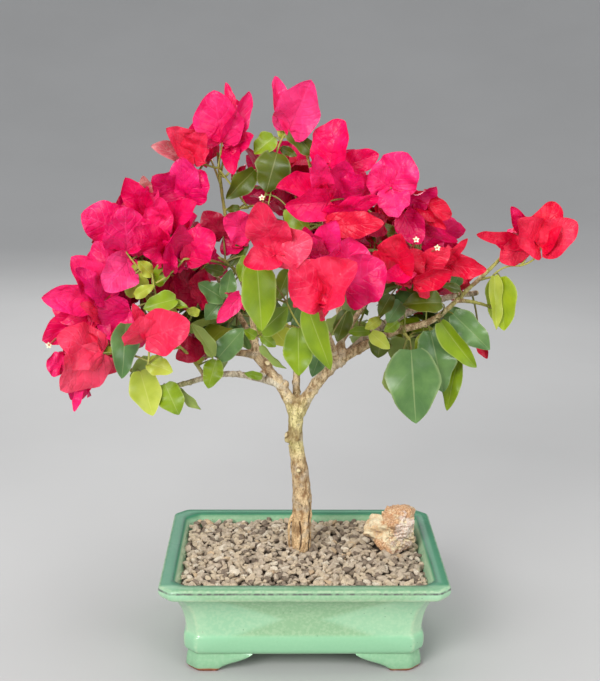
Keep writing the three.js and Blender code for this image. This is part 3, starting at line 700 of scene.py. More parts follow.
def bladeGrids(shape, grown, shown):
    # tints, points, faces and uv of the grown blades, then of the shown ones, which have a finer grid
    for rows, places, some in (("rows", "places", grown), ("fineRows", "finePlaces", shown)):
        if some:
            blades = {key: np.array([row[key] for row in some]) for key in some[0]}
            points, uv = bladePoints(blades, shape, shape[rows], shape[places])
            yield blades["tint"], points, bladeFaces(shape[rows], len(shape[places]) - 1), uv


def drawn(rng, ranges):
    # one even random number from each named range, in order
    return {key: rng.uniform(*ends) for key, ends in ranges.items()}


# Flowers: three bracts round a small tube, in sprays at the ends of the twigs

bractShape = {
    "rows": 8, "places": (-1, -0.58, 0, 0.58, 1), "outline": (0.45, 0.69), "thickness": 0.22,
    "fineRows": 15, "finePlaces": (-1, -0.84, -0.64, -0.42, -0.2, 0, 0.2, 0.42, 0.64, 0.84, 1),
    "tints": {"pink": 0, "magenta": 1, "coral": 2, "crimson": 3, "red": 4, "dried": 5, "rose": 6},
    "grown": {"curl": (-0.85, 0.35), "fold": (0, 0.18), "cup": (0, 0.3), "wave": (0.07, 0.2),
              "waves": (1.2, 2.6), "phase": (0, 1), "twist": (-0.4, 0.4), "crinkle": (0.7, 1.3)},
    "shown": {"curl": (-0.75, 0.6), "fold": (0.08, 0.4), "cup": (-0.24, 0.34), "wave": (0.1, 0.26),
              "waves": (1.3, 2.8), "phase": (0, 1), "twist": (-0.35, 0.35), "crinkle": (1.3, 2.4)},
}
# crimson stands for painted shade, with larger shares deep in the crown and at the back
massTints = {  # shares of each mass's flowers by tint, in the order of the tints above
    "blossom_left_low": (0.45, 0.3, 0.2, 0.05, 0), "blossom_left": (0.5, 0.35, 0.05, 0.1, 0),
    "blossom_left_inner": (0.4, 0.3, 0.1, 0.2, 0), "blossom_top_left": (0.6, 0.25, 0.1, 0.05, 0),
    "blossom_top": (0.8, 0.2, 0, 0, 0), "blossom_upper": (0.55, 0.25, 0.05, 0.15, 0),
    "blossom_front": (0.25, 0.15, 0.4, 0.1, 0.1), "blossom_right": (0.25, 0.15, 0.1, 0.15, 0.35),
    "blossom_right_tip": (0.1, 0.1, 0.2, 0.1, 0.5), "blossom_back_left": (0.4, 0.35, 0.05, 0.2, 0),
    "blossom_back": (0.45, 0.3, 0.05, 0.2, 0), "blossom_back_right": (0.35, 0.3, 0.05, 0.2, 0.1),
}
flowers = []
twigLines = []  # start, bend, end, start radius, end radius, tint
leaves = []


def addFlower(base, axis, turn, size, opened, tint, region, rng, floret=False):
    # a flower's place and way, with a seed of its own for its bracts
    flowers.append({
        "base": np.asarray(base, float), "axis": unit(axis), "turn": turn, "size": size, "open": opened,
        "tint": tint, "region": region, "seed": int(rng.integers(1 << 30)), "floret": floret,
    })


def addLeaf(root, along, upper, length, width, tint, rng, **given):
    # a leaf's place and way, with a random bend where none is given
    along = unit(along)
    side = unit(np.cross(upper, along))
    left = {key: ends for key, ends in leafShape["grown"].items() if key not in given}
    leaves.append({
        "root": np.asarray(root, float), "along": along, "side": side, "upper": np.cross(along, side),
        "length": length, "width": width, "lobe": 0.06, "tint": tint, **given, **drawn(rng, left),
    })


def bractBlades(some):
    # bract i stands at turn + i 120 degrees round the flower's axis and leans out by the flower's opening
    rows = []
    for flower in some:
        rng = np.random.default_rng(flower["seed"])
        for i in range(3):
            opened = flower["open"] + rng.uniform(-0.16, 0.16)
            turn = flower["turn"] + i * 2 * math.pi / 3 + rng.uniform(-0.16, 0.16)
            out = acrossTo(flower["axis"], turn)
            along = flower["axis"] * math.cos(opened) + out * math.sin(opened)
            upper = flower["axis"] * math.sin(opened) - out * math.cos(opened)
            size = flower["size"] * rng.uniform(0.92, 1.06)
            rows.append({
                "root": flower["base"] + along * 0.8, "along": along, "side": np.cross(upper, along),
                "upper": upper, "length": growth["bractLength"] * size,
                "width": growth["bractWidth"] * size * rng.uniform(0.95, 1.1),
                **drawn(rng, bractShape["grown"]), "lobe": 0.1, "tint": flower["tint"],
            })
    return rows


# Leaves: ovate and pointed, with a pale midrib, dealt out by spray in a few greens

leafShape = {
    "rows": 8, "places": (-1, -0.58, 0, 0.58, 1), "outline": (0.54, 0.84), "thickness": 0.3, "fineRows": 15,
    "finePlaces": (-1, -0.82, -0.56, -0.28, 0, 0.28, 0.56, 0.82, 1),
    "tints": {"mid": 0, "yellow": 1, "dark": 2, "olive": 3, "pale": 4, "lime": 5},
    "grown": {"curl": (-0.9, -0.2), "fold": (0.1, 0.38), "cup": (-0.22, 0.02), "wave": (0.06, 0.2),
              "waves": (1.2, 2.4), "phase": (0, 1), "twist": (-0.35, 0.35), "crinkle": (0.3, 0.7)},
}
massGreens = {  # shares of mid, yellow, dark and olive leaves
    "leaves_left": (0.4, 0.4, 0.15, 0.05), "leaves_centre": (0.5, 0.25, 0.2, 0.05),
    "leaves_right": (0.4, 0.12, 0.4, 0.08), "leaves_right_tip": (0.3, 0.6, 0.1, 0),
    "blossom_top": (0.35, 0.05, 0.2, 0.4), "blossom_left": (0.3, 0.5, 0.1, 0.1),
}
plainGreens = (0.4, 0.15, 0.3, 0.15)

# The flowers and leaves that the picture shows, set where it shows them and joined to the nearest stem

shownFlowers = [  # mass, then depth, tint, base and bracts: tip across and down, width, how much nearer, turn
    ("blossom_left_low", [
        (-46, "coral", (102, 353), [(57, 337, 46, 4, 10), (60, 391, 46, 8, -8)]),
        (-40, "pink", (80, 386), [(74, 411, 9, 2, 30)]), (-34, "pink", (64, 366), [(46, 360, 26, 2, 0)]),
        (-36, "magenta", (131, 311), [(99, 331, 46, 2, 12), (113, 349, 26, 0, -20)]),
        (-30, "pink", (92, 314), [(42, 341, 38, 4, 0), (52, 308, 34, 0, 0)]),
        (-36, "coral", (99, 318), [(79, 304, 17, 6, 20)]),
        (-34, "pink", (102, 297), [(70, 256, 36, 2, 14), (41, 298, 32, 6, -10)]),
        (-38, "magenta", (104, 301), [(76, 268, 22, 8, 35)]),
        (-30, "rose", (123, 284), [(94, 241, 42, 0, 0)]),
        (-36, "rose", (130, 259), [(104, 292, 38, 6, -14)]),
    ]),
    ("leaves_left", [
        (-54, "coral", (147, 337), [(191, 322, 47, 6, 8), (127, 330, 34, 4, -25), (134, 304, 14, 2, 30)]),
    ]),
    ("blossom_left", [
        (-8, "crimson", (198, 304), [(175, 264, 36, 2, 20), (206, 268, 24, 0, -20)]),
        (-14, "crimson", (202, 344), [(176, 359, 26, 2, 10)]),
        (-20, "rose", (123, 230), [(81, 214, 46, 2, 8)]),
        (-36, "rose", (126, 254), [(124, 206, 48, 6, 0)]),
        (-18, "pink", (146, 216), [(125, 177, 30, 2, 0), (152, 182, 22, 0, 30)]),
        (-16, "dried", (147, 194), [(143, 176, 13, 2, 10)]),
        (-30, "pink", (158, 239), [(160, 197, 28, 4, -12), (146, 208, 26, 2, 25)]),
        (-42, "pink", (167, 251), [(136, 229, 30, 8, 10), (143, 254, 20, 6, -30)]),
    ]),
    ("blossom_left_inner", [
        (-38, "magenta", (171, 270), [(179, 223, 26, 4, 40), (165, 240, 18, 8, -40)]),
        (-36, "pink", (184, 259), [(214, 231, 38, 4, -6), (200, 222, 14, 0, 30)]),
    ]),
    ("blossom_top_left", [
        (-6, "magenta", (186, 198), [(152, 176, 36, 6, 10), (205, 171, 36, 4, -10), (182, 156, 34, -2, 0)]),
        (-14, "pink", (170, 223), [(196, 202, 28, 4, 0)]),
        (-8, "rose", (222, 142), [(214, 90, 49, 6, -4), (250, 91, 20, 0, 40)]),
        (-4, "pink", (233, 112), [(226, 82, 10, 0, 0)]),
        (-4, "coral", (193, 156), [(166, 128, 29, 2, 18), (206, 133, 32, 4, -10)]),
        (4, "dried", (188, 160), [(150, 146, 21, 4, 14)]),
        (-2, "pink", (230, 149), [(233, 174, 20, 4, 20), (254, 135, 22, 2, -16)]),
        (8, "pink", (238, 172), [(251, 183, 14, 0, 10)]),
    ]),
    ("blossom_left_inner", [
        (-20, "crimson", (223, 236), [(203, 211, 27, 2, 14)]),
        (-26, "pink", (251, 239), [(227, 212, 32, 4, -12)]),
        (-18, "magenta", (244, 240), [(221, 254, 21, 4, 16)]),
    ]),
    ("blossom_top", [
        (-4, "rose", (289, 130), [(311, 80, 47, 6, -4), (274, 76, 22, 2, 38)]),
    ]),
    ("blossom_front", [
        (-92, "coral", (276, 254), [(258, 202, 43, 6, 0), (243, 264, 29, 8, 0), (313, 238, 42, 2, -8)]),
        (-88, "coral", (325, 297), [
            (290, 268, 50, 10, 10), (357, 262, 52, 10, -10), (292, 306, 20, 4, 30), (329, 308, 22, -6, 0),
        ]),
        (-70, "rose", (345, 288), [(349, 235, 54, 2, 0), (385, 262, 54, 8, -6)]),
        (-62, "magenta", (322, 258), [(336, 220, 32, 0, 8), (305, 226, 22, -2, -20)]),
        (-60, "pink", (240, 296), [(217, 323, 17, 4, 20)]),
    ]),
    ("blossom_upper", [
        (-12, "pink", (330, 166), [(343, 118, 37, 2, -8)]),
        (-30, "rose", (322, 191), [(317, 154, 23, 6, 10)]),
        (-32, "pink", (319, 190), [(276, 187, 28, 4, 24)]),
        (-38, "pink", (331, 201), [(284, 206, 36, 6, -14)]),
        (-10, "pink", (344, 167), [(379, 154, 25, 2, 12)]),
        (-16, "magenta", (337, 201), [(345, 159, 36, 2, 0), (362, 176, 30, 2, 10)]),
        (-42, "pink", (328, 217), [(379, 197, 24, 8, 26)]),
        (-46, "red", (328, 226), [(384, 223, 28, 6, 6), (352, 238, 18, 6, -30)]),
        (-34, "rose", (391, 188), [(407, 153, 50, 6, 6), (369, 172, 34, 4, 12), (398, 217, 34, 4, 0)]),
        (-34, "crimson", (383, 226), [(357, 225, 25, 2, 10)]),
    ]),
    ("blossom_right", [
        (-22, "magenta", (404, 206), [(436, 185, 17, 2, 24)]),
        (-20, "red", (414, 200), [(453, 217, 27, 4, 20), (446, 230, 14, 2, 40)]),
        (-16, "magenta", (424, 228), [(459, 241, 12, 2, 30)]),
        (-24, "magenta", (404, 214), [(421, 244, 30, 6, -10)]),
        (-52, "red", (394, 277), [(401, 234, 42, 4, 0), (424, 252, 34, 2, 12), (374, 250, 22, 0, -12)]),
        (-46, "red", (420, 269), [(450, 249, 27, 4, 16)]),
        (-36, "red", (445, 263), [(487, 270, 23, 4, 18), (468, 238, 11, 0, 30)]),
        (-54, "red", (414, 283), [(453, 270, 23, 6, 10)]),
        (-58, "pink", (411, 271), [(383, 279, 19, 4, 20)]),
        (10, "red", (478, 338), [(487, 359, 11, 0, 0)]),
    ]),
    ("blossom_right_tip", [
        (-6, "red", (541, 248), [(578, 221, 36, 4, -8), (556, 200, 34, 0, 0), (518, 220, 34, 6, 10)]),
        (-4, "red", (524, 245), [(477, 234, 17, 4, 24), (500, 261, 27, 4, 0)]),
        (0, "pink", (524, 230), [(511, 206, 17, 0, 10)]),
    ]),
]
shownStalks = [  # depth, then the picture places that the stalk passes
    (-8, (222, 142), (220, 158), (218, 168)), (-4, (192, 155), (203, 166), (218, 168)),
    (-2, (230, 149), (237, 166), (225, 177)), (-6, (218, 168), (234, 188), (248, 208)),
    (-4, (541, 248), (537, 262), (519, 266)), (-4, (524, 245), (530, 260), (519, 266)),
    (-6, (519, 266), (502, 264), (492, 277)), (-4, (289, 130), (280, 139), (277, 152)),
    (-4, (277, 152), (272, 178), (262, 205)), (-40, (152, 273), (154, 290), (158, 304)),
    (-40, (156, 283), (172, 275), (184, 259)), (-38, (126, 252), (134, 263), (145, 275)),
    (-52, (149, 336), (150, 350), (148, 364)), (-56, (287, 303), (300, 334), (322, 345)),
]
shownLeaves = [  # depth, green, base, tip, width, fold, how much nearer, turn
    (-50, "dark", (126, 324), (122, 379), 28, 0.2, 4, -8),
    (-30, "yellow", (140, 371), (153, 416), 32, 0.15, 6, 0),
    (-26, "mid", (165, 384), (179, 415), 27, 0.2, 6, 10),
    (-22, "pale", (180, 389), (201, 410), 10, 0.5, 2, 50),
    (-36, "yellow", (148, 363), (173, 372), 21, 0.3, 4, -10),
    (-40, "yellow", (113, 352), (99, 349), 9, 0.3, 2, 20),
    (-50, "mid", (176, 299), (143, 309), 21, 0.35, 4, 15),
    (-46, "mid", (164, 303), (188, 307), 12, 0.5, 4, -30),
    (-40, "yellow", (199, 313), (186, 310), 10, 0.3, 2, 0),
    (-34, "yellow", (136, 297), (135, 263), 25, 0.1, 2, 0),
    (-38, "yellow", (152, 275), (138, 261), 14, 0.2, 4, 20),
    (-34, "mid", (156, 285), (169, 257), 17, 0.2, 2, -10),
    (-42, "yellow", (135, 296), (154, 285), 12, 0.2, 4, 0),
    (-6, "olive", (277, 153), (266, 193), 36, 0.12, 8, 0),
    (-2, "mid", (274, 137), (254, 154), 22, 0.3, 2, 20),
    (0, "yellow", (283, 138), (281, 120), 11, 0.2, 0, 0),
    (-4, "olive", (289, 128), (318, 157), 20, 0.45, 4, 25),
    (4, "olive", (281, 148), (297, 156), 10, 0.3, 0, 0),
    (-10, "olive", (254, 170), (226, 199), 23, 0.35, 4, -20),
    (-14, "olive", (239, 208), (226, 210), 9, 0.2, 2, 0),
    (-34, "mid", (288, 208), (309, 233), 23, 0.2, 4, 0),
    (-24, "olive", (246, 243), (230, 267), 15, 0.3, 2, 20),
    (-30, "mid", (246, 256), (240, 282), 13, 0.4, 2, 20),
    (-22, "olive", (223, 272), (204, 267), 13, 0.3, 2, 0),
    (-20, "dark", (224, 299), (198, 283), 22, 0.3, 4, 10),
    (-22, "dark", (226, 297), (231, 269), 18, 0.3, 2, 0),
    (-12, "dark", (223, 298), (205, 320), 20, 0.2, 2, 0),
    (-72, "mid", (257, 264), (262, 331), 37, 0.15, 6, 0),
    (-56, "mid", (261, 332), (288, 307), 25, 0.2, 4, 10),
    (-56, "mid", (298, 328), (299, 376), 32, 0.25, 4, 0),
    (-60, "mid", (308, 309), (331, 370), 27, 0.3, 6, 28),
    (-40, "dark", (323, 346), (312, 377), 19, 0.2, 2, 0),
    (-30, "dark", (313, 306), (291, 327), 18, 0.2, 2, 0),
    (-34, "olive", (318, 318), (300, 334), 14, 0.2, 2, 10),
    (-18, "dark", (218, 358), (244, 328), 25, 0.2, 4, 0),
    (-22, "pale", (213, 357), (191, 323), 15, 0.6, 4, 35),
    (-20, "mid", (216, 360), (208, 389), 21, 0.25, 4, 0),
    (-10, "mid", (262, 377), (244, 373), 9, 0.3, 2, 0),
    (-34, "pale", (262, 345), (287, 369), 9, 0.6, 2, 45),
    (-44, "mid", (262, 336), (276, 347), 12, 0.2, 2, 0),
    (-46, "mid", (256, 337), (244, 330), 12, 0.3, 2, 0),
    (-14, "mid", (370, 331), (347, 332), 11, 0.25, 2, 0),
    (-22, "yellow", (371, 333), (390, 349), 15, 0.15, 4, 0),
    (-12, "olive", (381, 336), (378, 358), 23, 0.1, 2, 0),
    (-30, "dark", (411, 350), (416, 424), 54, 0.1, 8, 0),
    (-20, "dark", (430, 331), (443, 393), 37, 0.25, 4, -10),
    (-14, "mid", (458, 359), (447, 411), 20, 0.3, 2, 20),
    (-26, "mid", (441, 322), (477, 368), 23, 0.45, 6, 24),
    (-16, "dark", (453, 314), (490, 350), 28, 0.3, 4, -10),
    (-8, "lime", (500, 277), (504, 331), 33, 0.3, 0, 12),
    (-10, "yellow", (494, 276), (496, 330), 15, 0.4, 0, -30),
    (-36, "olive", (441, 303), (402, 305), 25, 0.4, 4, 20),
    (-28, "dark", (401, 302), (387, 323), 19, 0.2, 2, 0),
    (-30, "olive", (391, 295), (379, 316), 16, 0.2, 2, 0),
    (-20, "olive", (460, 290), (438, 284), 10, 0.4, 2, 20),
    (-22, "yellow", (380, 319), (365, 329), 12, 0.2, 2, 0),
    (-18, "yellow", (425, 334), (416, 359), 14, 0.2, 2, 0),
    (-4, "dark", (444, 318), (465, 311), 17, 0.2, 0, 0),
    (-16, "dark", (454, 286), (461, 271), 13, 0.2, 2, 0),
    (-34, "olive", (419, 290), (403, 283), 13, 0.2, 2, 0),
    (-24, "olive", (395, 232), (378, 224), 10, 0.2, 2, 0),
    (-30, "olive", (420, 300), (408, 308), 16, 0.3, 4, 0),
    (-24, "mid", (398, 322), (384, 332), 13, 0.3, 2, 0),
    (-34, "olive", (289, 270), (276, 302), 19, 0.2, 2, 0),
    (-26, "dark", (297, 298), (283, 324), 19, 0.2, 2, 0),
    (-20, "olive", (347, 311), (337, 342), 19, 0.2, 2, 0),
    (-22, "olive", (306, 310), (320, 340), 22, 0.25, 2, 0),
]
shownFlorets = [  # depth and place of the foot, then of the open star
    (-20, (268, 206), -36, (262, 198)), (-44, (57, 338), -60, (49, 345)),
    (-46, (428, 254), -62, (437, 248)), (-46, (411, 250), -62, (416, 240)),
]
crownOutline = [  # the crown's outline in the picture: nothing else is grown beyond it
    (74, 412), (46, 390), (40, 345), (39, 298), (45, 260), (70, 254), (92, 238), (79, 215), (86, 198),
    (108, 188), (122, 176), (152, 172), (148, 140), (166, 122), (192, 118), (194, 98), (212, 87), (228, 81),
    (252, 90), (248, 126), (256, 126), (270, 118), (271, 76), (290, 75), (330, 80), (331, 110), (314, 130),
    (322, 142), (342, 117), (357, 135), (354, 149), (380, 150), (376, 160), (396, 151), (422, 160),
    (424, 184), (440, 186), (446, 206), (458, 216), (459, 236), (470, 240), (488, 268), (480, 280),
    (492, 272), (500, 258), (476, 232), (508, 205), (530, 212), (556, 199), (579, 214), (574, 238),
    (546, 254), (522, 284), (520, 302), (494, 333), (490, 352), (477, 370), (464, 388), (447, 413),
    (434, 397), (416, 425), (384, 392), (383, 365), (395, 352), (366, 352), (345, 366), (330, 373),
    (300, 378), (284, 362), (262, 358), (226, 360), (222, 391), (206, 391), (192, 388), (200, 411),
    (180, 417), (165, 398), (153, 418), (126, 402), (122, 382), (108, 360), (90, 392),
]
skyGaps = [  # open places inside the outline: across, down, half width, half height
    (205, 206, 11, 17), (238, 192, 12, 14), (262, 200, 8, 6), (236, 362, 34, 8), (268, 364, 16, 14),
    (313, 372, 14, 12), (345, 352, 10, 12), (490, 258, 12, 12), (462, 205, 14, 14), (468, 246, 8, 7),
    (243, 150, 6, 10), (210, 256, 10, 8),
]


def shownBlade(depth, base, tip, width, nearer, turn):
    # from base to tip, with the upper side facing the eye, then turned round the midrib
    root = fromPicture(*base, depth)
    end = fromPicture(*tip, depth - nearer)
    along = unit(end - root)
    towards = unit(cameraPlan["eye"] - root)
    upper = turned(unit(towards - along * (towards @ along)), along, math.radians(turn))
    _, _, ahead = cameraAxes()
    wide = width * ((root - cameraPlan["eye"]) @ ahead) / cameraPlan["focal"]
    wide = wide / max(0.35, math.cos(math.radians(turn)))
    return {"root": root, "along": along, "side": np.cross(upper, along), "upper": upper,
            "length": np.linalg.norm(end - root), "width": wide}


def insideOutline(spots):
    # a spot is inside where a line to its right crosses the outline an odd number of times
    corners = np.array(crownOutline, float)
    following = np.roll(corners, -1, axis=0)
    x, y = spots[:, None, 0], spots[:, None, 1]
    spans = (corners[:, 1] > y) != (following[:, 1] > y)
    rise = np.where(following[:, 1] == corners[:, 1], 1, following[:, 1] - corners[:, 1])
    crossing = corners[:, 0] + (y - corners[:, 1]) * (following[:, 0] - corners[:, 0]) / rise
    return np.sum(spans & (x < crossing), axis=1) % 2 == 1


def inOpenSky(points):
    # beyond the outline, or inside one of the gaps, as the camera sees it
    spots = toPicture(points)
    gaps = np.array(skyGaps, float)
    gap = np.sum(((spots[:, None] - gaps[:, :2]) / gaps[:, 2:]) ** 2, axis=2) < 1
    return ~insideOutline(spots) | gap.any(axis=1)


stalkCurves = []


def carrierOf(point, names):
    # the nearest place on the stems, boughs and stalks reached without crossing open sky, and its way there
    curves = [stems[name] for name in names if name in stems] or list(stems.values())
    curves = curves + [limbCurves[name] for name in boughPlan] + stalkCurves
    places = np.concatenate([curve["points"][20::6] for curve in curves])
    ways = np.concatenate([np.gradient(curve["points"], axis=0)[20::6] for curve in curves])
    order = np.argsort(np.linalg.norm(places - point, axis=1))[:60]
    between = mix(places[order, None], point, np.array([0.2, 0.4, 0.6, 0.8])[:, None])
    crosses = inOpenSky(between.reshape(-1, 3)).reshape(len(order), -1).any(axis=1)
    best = order[np.argmin(crosses)]
    return places[best], unit(ways[best])


def joinToStem(point, leaving, names, tint, radius):
    # a twig that starts along the stem's line and ends where the flower or leaf begins
    start, way = carrierOf(point, names)
    gap = np.linalg.norm(point - start)
    back = unit(point - cameraPlan["eye"])
    bend = mix(start, point, 0.6) + way * gap * 0.1 - leaving * gap * 0.1 + back * gap * 0.3
    twigLines.append((start, bend, point, radius * 1.3, radius, tint))


shownBracts = []
shownRandom = np.random.default_rng(905)
backBracts = {"forward": 0.3, "back": 0.95, "apart": 0.45, "size": 0.8}  # on a shown flower's far side
shownRule = {"nearer": (-4, 16), "turn": (-20, 20), "leafCurl": (-0.5, 0.15), "leafWave": 1.7}


def addShownBract(blade, tint, region):
    # a bract where the picture shows it, with a random bend
    shape = drawn(shownRandom, bractShape["shown"])
    shownBracts.append({**blade, **shape, "lobe": 0.12, "tint": bractShape["tints"][tint], "region": region})


def bractsBehind(blades):
    # two more bracts at the flower's base, leaning away from the eye, apart to both sides
    root = blades[0]["root"]
    onward = unit(np.mean([blade["along"] for blade in blades], axis=0))
    back = unit(root - cameraPlan["eye"])
    across = unit(np.cross(onward, back))
    rule = backBracts
    size = {key: np.mean([blade[key] for blade in blades]) * rule["size"] for key in ("length", "width")}
    made = []
    for lean in (-1, 1):
        along = unit(onward * rule["forward"] + back * rule["back"] + across * lean * rule["apart"])
        upper = unit(onward - back * 0.3 - along * (along @ (onward - back * 0.3)))
        made.append({"root": root, "along": along, "side": np.cross(upper, along), "upper": upper, **size})
    return made


def staysInside(blade):
    # its tip and both its edges are inside the crown's outline
    end = blade["root"] + blade["along"] * blade["length"]
    middle, half = mix(blade["root"], end, 0.6), blade["side"] * blade["width"] * 0.5
    return insideOutline(toPicture([end, middle + half, middle - half])).all()


stalkStarts = [places[0] for _, *places in shownStalks]
stalkLines = [[fromPicture(*place, depth) for place in places] for depth, *places in shownStalks]
for (_, *places), points in zip(shownStalks, stalkLines):
    twigLines.append((*points, 0.6, 0.75, 1))
    if places[-1] not in stalkStarts:
        joinToStem(points[-1], unit(points[0] - points[-1]), (), 1, 0.8)
stalkCurves += [bentCurve(*points[::-1]) for points in stalkLines]
flowerRows = [(mass, *row) for mass, rows in shownFlowers for row in rows]
for region, depth, tint, base, tips in flowerRows:
    blades = []
    for across, down, width, nearer, turn in tips:
        nearer = nearer + shownRandom.uniform(*shownRule["nearer"])
        turn = turn + shownRandom.uniform(*shownRule["turn"])
        blades.append(shownBlade(depth, base, (across, down), width, nearer, turn))
    for blade in blades:
        addShownBract(blade, tint, region)
    for blade in bractsBehind(blades) if tint != "dried" and region.startswith("blossom") else ():
        if staysInside(blade):
            addShownBract(blade, tint, region)
    onward = unit(np.mean([blade["along"] for blade in blades], axis=0))
    joinToStem(blades[0]["root"], onward, (region,), 2, 0.6)
floretLines = [(fromPicture(*foot, depth), fromPicture(*star, near))
               for depth, foot, near, star in shownFlorets]
for foot, star in floretLines:
    joinToStem(foot, unit(star - foot), (), 1, 0.5)
for depth, green, base, tip, width, fold, nearer, turn in shownLeaves:
    blade = shownBlade(depth, base, tip, width, nearer, turn)
    curl = shownRandom.uniform(*shownRule["leafCurl"])
    addLeaf(blade["root"], blade["along"], blade["upper"], blade["length"], blade["width"],
            leafShape["tints"][green], shownRandom, curl=curl, fold=fold)
    leaves[-1]["wave"] *= shownRule["leafWave"]
    joinToStem(blade["root"], blade["along"], (), 2, 0.5)
shownCount = len(leaves)
shownMiddles = np.array([blade["root"] + blade["along"] * blade["length"] / 2
                         for blade in shownBracts + leaves])
bareLimbs = ("trunk", "left_bough", "right_bough", "left_low_branch", "right_upper_branch")
bareSpots = np.concatenate([pointAt(limbCurves[name], np.linspace(0.04, 0.8, 24)) for name in bareLimbs])


def coversShown(points, reach, clear):
    # in front of a flower or leaf that the picture shows, within reach of it there, or of a bare bough
    spots = toPicture(points)[:, None]
    near = np.linalg.norm(spots - toPicture(shownMiddles), axis=2) < reach
    before = (near & (points[:, None, 1] < shownMiddles[:, 1] + clear)).any(axis=1)
    bough = np.linalg.norm(spots - toPicture(bareSpots), axis=2) < reach * 0.6
    return before | (bough & (points[:, None, 1] < bareSpots[:, 1])).any(axis=1)


# The sprays that the solids' twigs carry, with more flowers and leaves on finer twigs inside the same reach

sprayRule = {
    "sideFlowers": (1, 2), "sideSize": (0.72, 0.95), "sideLean": (0.7, 1.25), "sideShare": (0.55, 0.85),
    "sideStalk": (7, 15), "sideOpen": (0.5, 0.9), "leafOnFlowerTwig": 0.75, "leafShare": (0.3, 0.75),
    "leafLength": (26, 42), "sideLeaves": (1, 2), "sideLeafShare": (0.35, 0.9), "petiole": (6, 12),
    "reach": 1.02, "drawIn": (1, 0.85, 0.7, 0.55, 0.4, 0.25, 0.1), "infill": 16, "infillLeaves": 12,
    "infillSize": (0.68, 0.95), "infillOpen": (0.55, 0.95), "tipOpen": (-0.2, 0.12),
    "hides": (30, 12),  # pixels across, millimetres nearer
    "leafWidth": (0.66, 0.78), "tipLeafWidth": (0.68, 0.8), "floret": 0.2, "sideFloret": 0.15,
    "sameTint": 0.6,
}


def insideMass(mass, point):
    # within the mass's space, an ellipsoid
    return np.linalg.norm((np.asarray(point) - mass[0]) / mass[1]) < sprayRule["reach"]


def isWanted(base, axis, length, spread=0.0):
    # kept where its middle and tip, and tips spread round it, are not in open sky and hide nothing shown
    points = np.array([base + axis * length * 0.5, base + axis * length])
    turns = np.arange(6 if spread else 0) * math.pi / 3
    tips = [points[1] + acrossTo(axis, turn) * spread for turn in turns]
    hides = coversShown(points, *sprayRule["hides"]).any()
    return not (hides or inOpenSky(np.array([*points, *tips])).any())


def leafBeside(twig, name, share, length, greens, rng):
    # a leaf on its own petiole, set off the twig at a share of it and drooping outwards
    mass = massPlan[name]
    line = bentCurve(twig["foot"], twig["bend"], twig["tip"])
    start, heading = pointAt(line, share), tangentAt(line, share)
    way = unit(acrossTo(heading, rng.uniform(0, 2 * math.pi)) + heading * 0.5 + upright * 0.1)
    petiole = rng.uniform(*sprayRule["petiole"])
    root = start + way * petiole
    along = unit(way * 0.8 - upright * rng.uniform(0.25, 0.9) + outwardOf(mass) * 0.4)
    if not insideMass(mass, root + along * length * 0.6) or not isWanted(root, along, length):
        return
    twigLines.append((start, start + way * petiole * 0.6 + upright * 1.5, root, 0.5, 0.4, 1))
    upper = unit(upright + outwardOf(mass) * 0.6 + rng.uniform(-0.3, 0.3, 3))
    width = length * rng.uniform(*sprayRule["leafWidth"])
    addLeaf(root, along, upper, length, width, rng.choice(4, p=greens), rng)


def drawnIn(twig, mass, length):
    # the twig with its tip drawn towards the mass's middle, as little as lets it stay, or None
    for share in sprayRule["drawIn"]:
        tip = mix(np.array(mass[0]), twig["tip"], share)
        if isWanted(tip, twig["axis"], length, length * 0.7 if twig["blooms"] else 0):
            return {**twig, "tip": tip, "bend": twig["bend"] + (tip - twig["tip"]) / 2}
    return None


